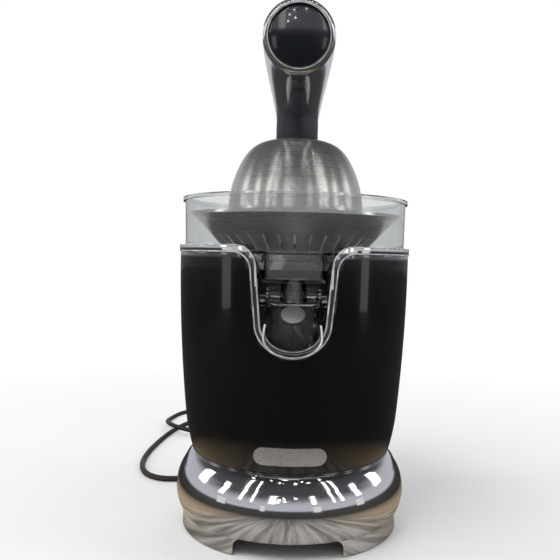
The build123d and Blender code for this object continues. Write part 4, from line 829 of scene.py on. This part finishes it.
# ---------------- black housing and its trim, in millimetres

# The shell's outline, as how far in from its rim and at what height
SHELL_FOOT_IN = 13.5
SHELL_POINTS = ((9.65, 72.0), (6.8, 89.0), (2.4, 141.5))
# Trim band: its top, its width along the cut and how far it stands proud
BAND_TOP = 220.0
BAND_WIDTH = 4.2
BAND_PROUD = 0.7
# The band starts at this point of the housing's outline
BAND_START = 20
# Beads of painted highlight along its edges: how far from the edge, how far proud of the housing and where
# they end
BEAD_IN = 0.4
BEAD_PROUD = 0.5
BEAD_END = radians(165)
BEAD_STEPS = 40
# U-shaped cut
CUT_HALF_WIDTH = 23.0
CUT_TOP_HALF_WIDTH = 26.5
CUT_CORNER = 15.0
CUT_SHOULDER_HEIGHT = 166.5
CUT_DEPTH = 20.5
CUT_STEPS = 24
# Notch at the back for the hinge bracket, as half its width, bottom and top
NOTCH = (22.5, 190, 240)
# Badge plate, with the height of its middle
BADGE_HEIGHT = 72.0
BADGE_HALF_LENGTH = 25.8
BADGE_HALF_WIDTH = 6.45
BADGE_THICKNESS = 0.8


class JUICER_OT_housing(bpy.types.Operator):
    """Makes the gloss black housing with the U-shaped cut, its trim band and its bare badge."""

    bl_idname = "juicer.housing"
    bl_label = "Housing"

    wall: bpy.props.FloatProperty(name="Wall", description="Thickness of the shell", default=3.0)

    def execute(self, context):
        finish = context.scene.juicer_finish
        low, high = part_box("housing_shell")
        rim = high.x / MM
        foot_height = low.z / MM
        rim_height = high.z / MM
        wall = self.wall
        foot = (rim - SHELL_FOOT_IN, foot_height)
        belly, knee, middle = [(rim - inwards, height) for inwards, height in SHELL_POINTS]
        outer = [foot] + arc(foot, belly, knee, 14) + arc(knee, middle, (rim, rim_height), 30)
        shell = turned("housing_black", outer + self.shifted(outer, -wall)[::-1])
        combine(shell, "DIFFERENCE", self.cutter(BAND_WIDTH, rim_height))
        combine(shell, "DIFFERENCE", self.notch())
        bevel(shell, 0.4)
        soften(shell, radians(30))
        black = piano_black_finish("housing_piano_black", finish.black)
        finished(shell, black, "stand", "housing_shell")
        skin = outer[BAND_START:] + [(rim, BAND_TOP)]
        band = turned("trim_band_polished", self.shifted(skin, BAND_PROUD) + self.shifted(skin, -wall)[::-1])
        # below the rim only the strip round the cut stays
        rest = slab("rest", rounded((0, 100.0), 150.0, rim_height - 100.0, 1.0, 1), -150, 150)
        combine(rest, "DIFFERENCE", self.cutter(BAND_WIDTH, rim_height))
        combine(band, "DIFFERENCE", rest)
        combine(band, "DIFFERENCE", self.cutter(0, BAND_TOP))
        combine(band, "DIFFERENCE", self.notch())
        bevel(band, 0.4)
        soften(band)
        finished(band, chrome_finish("trim_chrome", finish), "stand", "trim_band")
        # the beads on the band's edges are painted highlight, standing in for the light that its rounded
        # edges catch
        edge = painted_highlight_edge_finish("trim_painted_highlight")
        for name, grow, brim in (("inner", BEAD_IN, BAND_TOP - BEAD_IN),
                                 ("outer", BAND_WIDTH - BEAD_IN, rim_height + BEAD_IN)):
            bead(f"trim_painted_highlight_{name}", self.edge_route(outer, grow, brim), 0.6, edge, "stand")
        badge = brushed_steel_finish("badge_brushed", finish, rings=False, share=1.15, metallic=0.6)
        outline = rounded((0, BADGE_HEIGHT), BADGE_HALF_LENGTH, BADGE_HALF_WIDTH, BADGE_HALF_WIDTH - 0.01, 12)
        plate = slab("badge_bare", outline, -200, -10)
        combine(plate, "INTERSECT", turned("badge_ring", self.shifted(outer, BADGE_THICKNESS) + outer[::-1]))
        bevel(plate, 0.3)
        soften(plate)
        finished(plate, badge, "stand", "badge_plate")
        dark = moulded_finish("recess_black", (0.008, 0.008, 0.009), 0.00002, 0.28)
        dress(dark, "top_deck", "spout_recess")
        return {"FINISHED"}

    def shifted(self, outline, amount):
        """An outline moved outwards."""
        return [(radius + amount, height) for radius, height in outline]

    def edge_route(self, outer, grow, brim):
        """A line round the rim and down round the cut, on the face of the trim band."""
        low, side = self.cut_line(grow, brim)
        rim = outer[-1][0] + BEAD_PROUD
        start = asin(side[-1][0] / rim)
        turns = [start + (BEAD_END - start) * step / BEAD_STEPS for step in range(1, BEAD_STEPS + 1)]
        half = [(rim * sin(turn), -rim * cos(turn), brim) for turn in turns]
        front = []
        for across, up in mirrored(side) + low + side:
            radius = min(outer, key=lambda point: abs(point[1] - up))[0] + BEAD_PROUD
            front.append((across, -sqrt(radius ** 2 - across ** 2), up))
        return mirrored(half) + front + half

    def cutter(self, grow, brim):
        """A form of the U-shaped cut, widened all round and open past the top."""
        low, side = self.cut_line(grow, brim)
        side = side + [(side[-1][0], brim + 20)]
        return slab("front_cutter", low + side + mirrored(side), -200, -20)

    def notch(self):
        """A form of the notch at the back."""
        half, bottom, top = NOTCH
        return slab("notch_cutter", [(-half, bottom), (half, bottom), (half, top), (-half, top)], 50, 200)

    def cut_line(self, grow, brim):
        """The round bottom of the cut from left to right, and its right side up to the brim."""
        turns = [pi * step / CUT_STEPS for step in range(CUT_STEPS + 1)]
        line = [(-(CUT_HALF_WIDTH + grow) * cos(turn), CUT_SHOULDER_HEIGHT - (CUT_DEPTH + grow) * sin(turn))
                for turn in turns]
        high, corner = CUT_TOP_HALF_WIDTH + grow, CUT_CORNER - grow / 2
        nip = corner * CORNER_SHARE
        bend, edge = (high, brim - corner), (high + corner, brim)
        return line, [bend] + arc(bend, (high + nip, brim - nip), edge, 8)


# ---------------- bowl, strainer and cone, in millimetres

# The bowl's floor, the deck that its skirt stands on, its wall, and how far its lip overhangs both
BOWL_FLOOR = 216.0
BOWL_DECK = 203.0
BOWL_WALL = 2.5
SKIRT_IN = 3.0
LIP_REACH = 1.7
LIP_THICKNESS = 3.0
# Low rings on the floor that carry the strainer, by their outer radii
RING_RADII = (56.0, 19.0)
RING_WIDTH = 2.5
RING_HEIGHT = 1.0
# Chimney round the drive shaft
CHIMNEY_RADIUS = 11.5
CHIMNEY_HEIGHT = 12.0
# Sump at the front and the nozzle below it, with middles as (across, back)
SUMP_MIDDLE = (0, -68.5)
SUMP_HALF_WIDTH = 23.0
SUMP_HALF_DEPTH = 14.5
SUMP_CORNER = 5.0
SUMP_DROP = 19.5
NOZZLE_MIDDLE = (0, -72.0)
NOZZLE_RADIUS = 9.5
NOZZLE_WALL = 2.0


class JUICER_OT_bowl(bpy.types.Operator):
    """Makes the clear bowl with its sump and nozzle, the steel strainer and the cone."""

    bl_idname = "juicer.bowl"
    bl_label = "Bowl"

    def execute(self, context):
        finish = context.scene.juicer_finish
        low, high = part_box("juice_bowl")
        lip = high.x / MM
        top = high.z / MM
        rim, foot, chimney = lip - LIP_REACH, lip - SKIRT_IN, CHIMNEY_RADIUS
        inside = foot - BOWL_WALL
        under = BOWL_FLOOR - BOWL_WALL
        outline = [(foot, BOWL_DECK), (rim, top - LIP_THICKNESS), (lip, top - LIP_THICKNESS), (lip, top),
                   (rim - BOWL_WALL, top), (inside, BOWL_FLOOR)]
        for radius in RING_RADII:
            outline += [(radius, BOWL_FLOOR), (radius, BOWL_FLOOR + RING_HEIGHT),
                        (radius - RING_WIDTH, BOWL_FLOOR + RING_HEIGHT), (radius - RING_WIDTH, BOWL_FLOOR)]
        outline += [(chimney, BOWL_FLOOR), (chimney, BOWL_FLOOR + CHIMNEY_HEIGHT),
                    (chimney - BOWL_WALL, BOWL_FLOOR + CHIMNEY_HEIGHT), (chimney - BOWL_WALL, under),
                    (inside, under), (inside, BOWL_DECK)]
        bowl = turned("bowl_clear", outline)
        sump_bottom = under - SUMP_DROP
        nozzle_end = low.z / MM
        for name, operation, plan, bottom, ceiling in (
                ("sump", "UNION", self.sump_plan(0), sump_bottom, under + BOWL_WALL / 2),
                ("nozzle", "UNION", self.nozzle_plan(0), nozzle_end, sump_bottom + 1),
                ("well", "DIFFERENCE", self.sump_plan(BOWL_WALL), sump_bottom + BOWL_WALL, BOWL_FLOOR + 5),
                ("bore", "DIFFERENCE", self.nozzle_plan(NOZZLE_WALL), nozzle_end - 10,
                 sump_bottom + 2 * BOWL_WALL)):
            combine(bowl, operation, tower(name, plan, bottom, ceiling))
        # the rounded edges take the second slot, a painted highlight standing in for the light they catch
        bowl.data.materials.append(clear_plastic_finish("bowl_plastic", finish))
        bowl.data.materials.append(painted_highlight_edge_finish("bowl_painted_highlight_edge"))
        bevel(bowl, 0.6, slot=1)
        soften(bowl)
        finished(bowl, None, "stand", "juice_bowl")
        steel = brushed_steel_finish("strainer_brushed", finish, share=0.8)
        bevelled_copy("strainer", "strainer_skin", 0.1, steel, "stand")
        cast = brushed_steel_finish("cone_brushed", finish, share=1.1)
        bevelled_copy("cone", "cone_skin", 0.5, cast, "spindle")
        return {"FINISHED"}

    def sump_plan(self, wall):
        return rounded(SUMP_MIDDLE, SUMP_HALF_WIDTH - wall, SUMP_HALF_DEPTH - wall, SUMP_CORNER - wall)

    def nozzle_plan(self, wall):
        radius = NOZZLE_RADIUS - wall
        return rounded(NOZZLE_MIDDLE, radius, radius, radius - 0.01, 12)


# ---------------- lever arm, neck and dome, in millimetres

# The arm's free end as (back, up), how far it tips forward, and the end ring's inner edge
ARM_END = (-107.5, 358.0)
ARM_END_TILT = radians(11)
RING_EDGE_RADIUS = 21.0
RING_EDGE_REACH = 3.9
RING_EDGE_STEPS = 72

# The dome's outside, as how far in from its edge and how far above it
DOME_OUTSIDE = ((0, 0), (2.4, 18.5), (5.3, 29.0), (9.2, 38.3), (13.6, 46.0), (18.6, 51.7), (24.0, 55.3),
                (30.5, 57.7), (35.4, 58.6))
DOME_LAND = (36.6, 58.2)
# The dish in its top and its inside, as (radius, height)
DOME_DISH = [(12.0, 300.9), (8.0, 299.4), (5.1, 298.8)]
DOME_INSIDE = [(5.1, 296.5), (14.0, 299.5), (24.0, 302.3), (31.0, 299.9), (38.0, 294.2), (44.2, 284.8),
               (48.0, 275.5), (51.0, 265.0)]
DOME_WALL = 1.5


class JUICER_OT_arm(bpy.types.Operator):
    """Makes the chromed lever arm with its ring, cap, neck and hinge."""

    bl_idname = "juicer.arm"
    bl_label = "Lever arm"

    def execute(self, context):
        finish = context.scene.juicer_finish
        chrome = chrome_finish("arm_chrome", finish, metallic=0.86)
        bevelled_copy("arm_shell", "arm_polished", 0.5, chrome, "arm")
        bevelled_copy("end_ring", "end_ring_polished", 0.4, chrome, "arm")
        navy = piano_black_finish("cap_piano_black", finish.cap)
        bevelled_copy("end_cap", "end_cap_black", 0.4, navy, "arm")
        # a bead of painted highlight along the end ring's inner edge
        bead("ring_painted_highlight", self.ring_route(), 0.45, painted_highlight_edge_finish("ring_painted_highlight"), "arm")
        satin = satin_black_finish("neck_satin", finish.cap)
        bevelled_copy("neck", "neck_black", 0.5, satin, "arm")
        black = piano_black_finish("bracket_piano_black", finish.black)
        bevelled_copy("hinge_bracket", "bracket_black", 1.2, black, "stand")
        dress(metal_finish("pin_steel", (0.58, 0.58, 0.60), 0.22),
              "hinge_pin", "dome_pin", "spout_pins", "dome_stem", "drive_shaft", "idler_axle",
              "motor_bearings", "return_spring")
        dress(metal_finish("bush_bronze", (0.50, 0.33, 0.14), 0.35), "hinge_bushes", "shaft_bushes")
        return {"FINISHED"}

    def ring_route(self):
        """The inner edge of the end ring, on its front face."""
        ahead, down = cos(ARM_END_TILT), sin(ARM_END_TILT)
        middle, height = ARM_END[0] - RING_EDGE_REACH * ahead, ARM_END[1] - RING_EDGE_REACH * down
        route = []
        for step in range(RING_EDGE_STEPS + 1):
            turn = 2 * pi * step / RING_EDGE_STEPS
            low = RING_EDGE_RADIUS * cos(turn)
            route.append((RING_EDGE_RADIUS * sin(turn), middle + low * down, height - low * ahead))
        return route


class JUICER_OT_dome(bpy.types.Operator):
    """Makes the brushed steel dome that presses the fruit."""

    bl_idname = "juicer.dome"
    bl_label = "Dome"

    def execute(self, context):
        finish = context.scene.juicer_finish
        low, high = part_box("dome")
        edge = high.x / MM
        edge_height = low.z / MM
        outside = [(edge - inwards, edge_height + up) for inwards, up in (*DOME_OUTSIDE, DOME_LAND)]
        inside = curved([*DOME_INSIDE, (edge - DOME_WALL, edge_height)], 3)
        outline = curved(outside[:-1], 5) + outside[-1:] + DOME_DISH + inside
        dome = turned("dome_brushed", outline, 144)
        bevel(dome, 0.3, angle=radians(50))
        soften(dome, radians(40))
        finished(dome, brushed_steel_finish("dome_steel", finish), "presser", "dome")
        return {"FINISHED"}


# ---------------- spout, in millimetres

# The spout's pins as (back, up), the slope of its trough and how far the trough's underside is below them
SPOUT_PIN = (-58.8, 179.8)
SPOUT_SLOPE = radians(40)
SPOUT_UNDER = 3.5
SPOUT_SHEET = 2.0
SPOUT_CORNER = 10.8
SPOUT_WALL_HEIGHT = 12.5
# Its round lip starts this far along the slope, and the walls drop on the way to it
SPOON_HALF_WIDTH = 21.0
SPOON_START = 43.0
SPOON_LENGTH = 15.5
LIP_DROP = 8.0
DROP_START = 40.0
DROP_LENGTH = 19.5
# The bead of painted highlight on the walls' upper edge starts here
BEAD_HALF_WIDTH = 20.2
BEAD_START = 33.0


class JUICER_OT_spout(bpy.types.Operator):
    """Finishes the clear spout and its drip stopper."""

    bl_idname = "juicer.spout"
    bl_label = "Spout"

    def execute(self, context):
        finish = context.scene.juicer_finish
        clear = clear_plastic_finish("spout_clear", finish, 0.03)
        bevelled_copy("spout", "spout_clear_skin", 0.5, clear, "spout")
        # a bead of painted highlight along the walls' upper edge and round the lip
        bead("spout_painted_highlight_edge", self.lip_route(), 0.75, painted_highlight_edge_finish("spout_painted_highlight_edge"), "spout")
        grey = moulded_finish("stopper_silicone", finish.silicone, 0.00002, 0.5)
        bevelled_copy("drip_stopper", "drip_stopper_skin", 0.4, grey, "spout")
        return {"FINISHED"}

    def lip_route(self):
        """The middle of the wall's upper edge, from one side round the lip to the other."""
        plan = [(BEAD_HALF_WIDTH + 0.08 * step, -BEAD_START - step) for step in range(10)]
        turns = [pi / 2 * step / 16 for step in range(17)]
        plan += [(SPOON_HALF_WIDTH * cos(turn), -SPOON_START - SPOON_LENGTH * sin(turn)) for turn in turns]
        half = []
        for across, along in plan:
            drop = LIP_DROP * min(1.0, max(0.0, (-along - DROP_START) / DROP_LENGTH))
            height = SPOUT_WALL_HEIGHT - drop
            # a low wall ends inside the round corner along the trough's bottom
            short = max(0.0, SPOUT_CORNER - height)
            inwards = SPOUT_SHEET / 2 + SPOUT_CORNER - sqrt(SPOUT_CORNER ** 2 - short ** 2)
            share = 1 - inwards / SPOON_HALF_WIDTH
            if along < -SPOON_START:
                along = -SPOON_START + (along + SPOON_START) * share
            up = height - 0.5 - SPOUT_UNDER
            half.append((across * share, SPOUT_PIN[0] + along * cos(SPOUT_SLOPE) - up * sin(SPOUT_SLOPE),
                         SPOUT_PIN[1] + along * sin(SPOUT_SLOPE) + up * cos(SPOUT_SLOPE)))
        return half + mirrored(half[:-1])


# ---------------- drive inside the housing


class JUICER_OT_drive(bpy.types.Operator):
    """Finishes the motor, the gears and the switch."""

    bl_idname = "juicer.drive"
    bl_label = "Drive"

    def execute(self, context):
        dress(moulded_finish("case_plastic", (0.055, 0.055, 0.058)), "gearbox_tray", "gearbox_lid")
        dress(moulded_finish("gear_acetal", (0.74, 0.71, 0.63), rough=0.38), "idler_gear", "output_gear")
        dress(metal_finish("motor_zinc", (0.42, 0.43, 0.44), 0.33), "motor_can", "motor_cap")
        dress(metal_finish("stator_laminations", (0.12, 0.115, 0.11), 0.5), "motor_stator")
        dress(metal_finish("rotor_copper", (0.55, 0.23, 0.10)), "motor_rotor")
        dress(metal_finish("pinion_brass", (0.58, 0.42, 0.18), 0.28), "motor_pinion")
        dress(moulded_finish("seal_rubber", (0.02, 0.02, 0.02), rough=0.6), "shaft_seal")
        dress(moulded_finish("switch_plastic", (0.03, 0.03, 0.03), rough=0.4), "switch_body")
        dress(moulded_finish("plunger_red", (0.32, 0.03, 0.02), rough=0.4), "switch_plunger")
        return {"FINISHED"}


# ---------------- sidebar and registration


OPERATORS = (
    JUICER_OT_camera, JUICER_OT_cord, JUICER_OT_stage, JUICER_OT_base, JUICER_OT_housing, JUICER_OT_bowl,
    JUICER_OT_dome, JUICER_OT_arm, JUICER_OT_spout, JUICER_OT_drive,
)
GROUPS = {
    "juicer_camera": JuicerCamera, "juicer_cord": JuicerCord, "juicer_finish": JuicerFinish,
    "juicer_stage": JuicerStage,
}


class JUICER_PT_panel(bpy.types.Panel):
    """Lists the juicer's operators and settings."""

    bl_idname = "JUICER_PT_panel"
    bl_label = "Juicer"
    bl_space_type = "VIEW_3D"
    bl_region_type = "UI"
    bl_category = "Juicer"

    def draw(self, context):
        column = self.layout.column()
        for operator in OPERATORS:
            column.operator(operator.bl_idname)
        for name, group in GROUPS.items():
            box = self.layout.box()
            for setting in group.__annotations__:
                box.prop(getattr(context.scene, name), setting)


def register():
    for group in GROUPS.values():
        bpy.utils.register_class(group)
    for name, group in GROUPS.items():
        setattr(bpy.types.Scene, name, bpy.props.PointerProperty(type=group))
    for operator in OPERATORS:
        bpy.utils.register_class(operator)
    bpy.utils.register_class(JUICER_PT_panel)


def unregister():
    bpy.utils.unregister_class(JUICER_PT_panel)
    for operator in reversed(OPERATORS):
        bpy.utils.unregister_class(operator)
    for name in GROUPS:
        delattr(bpy.types.Scene, name)
    for group in reversed(list(GROUPS.values())):
        bpy.utils.unregister_class(group)


def corners(box):
    """A box's two corners as plain lists."""
    return [list(map(float, corner)) for corner in box]


def main():
    """Makes the dressed juicer on its stage."""
    register()
    bpy.ops.juicer.camera()
    bpy.ops.juicer.cord()
    bpy.ops.juicer.stage()
    bpy.ops.juicer.base()
    bpy.ops.juicer.housing()
    bpy.ops.juicer.bowl()
    bpy.ops.juicer.dome()
    bpy.ops.juicer.arm()
    bpy.ops.juicer.spout()
    bpy.ops.juicer.drive()


if __name__ == "__main__":
    main()
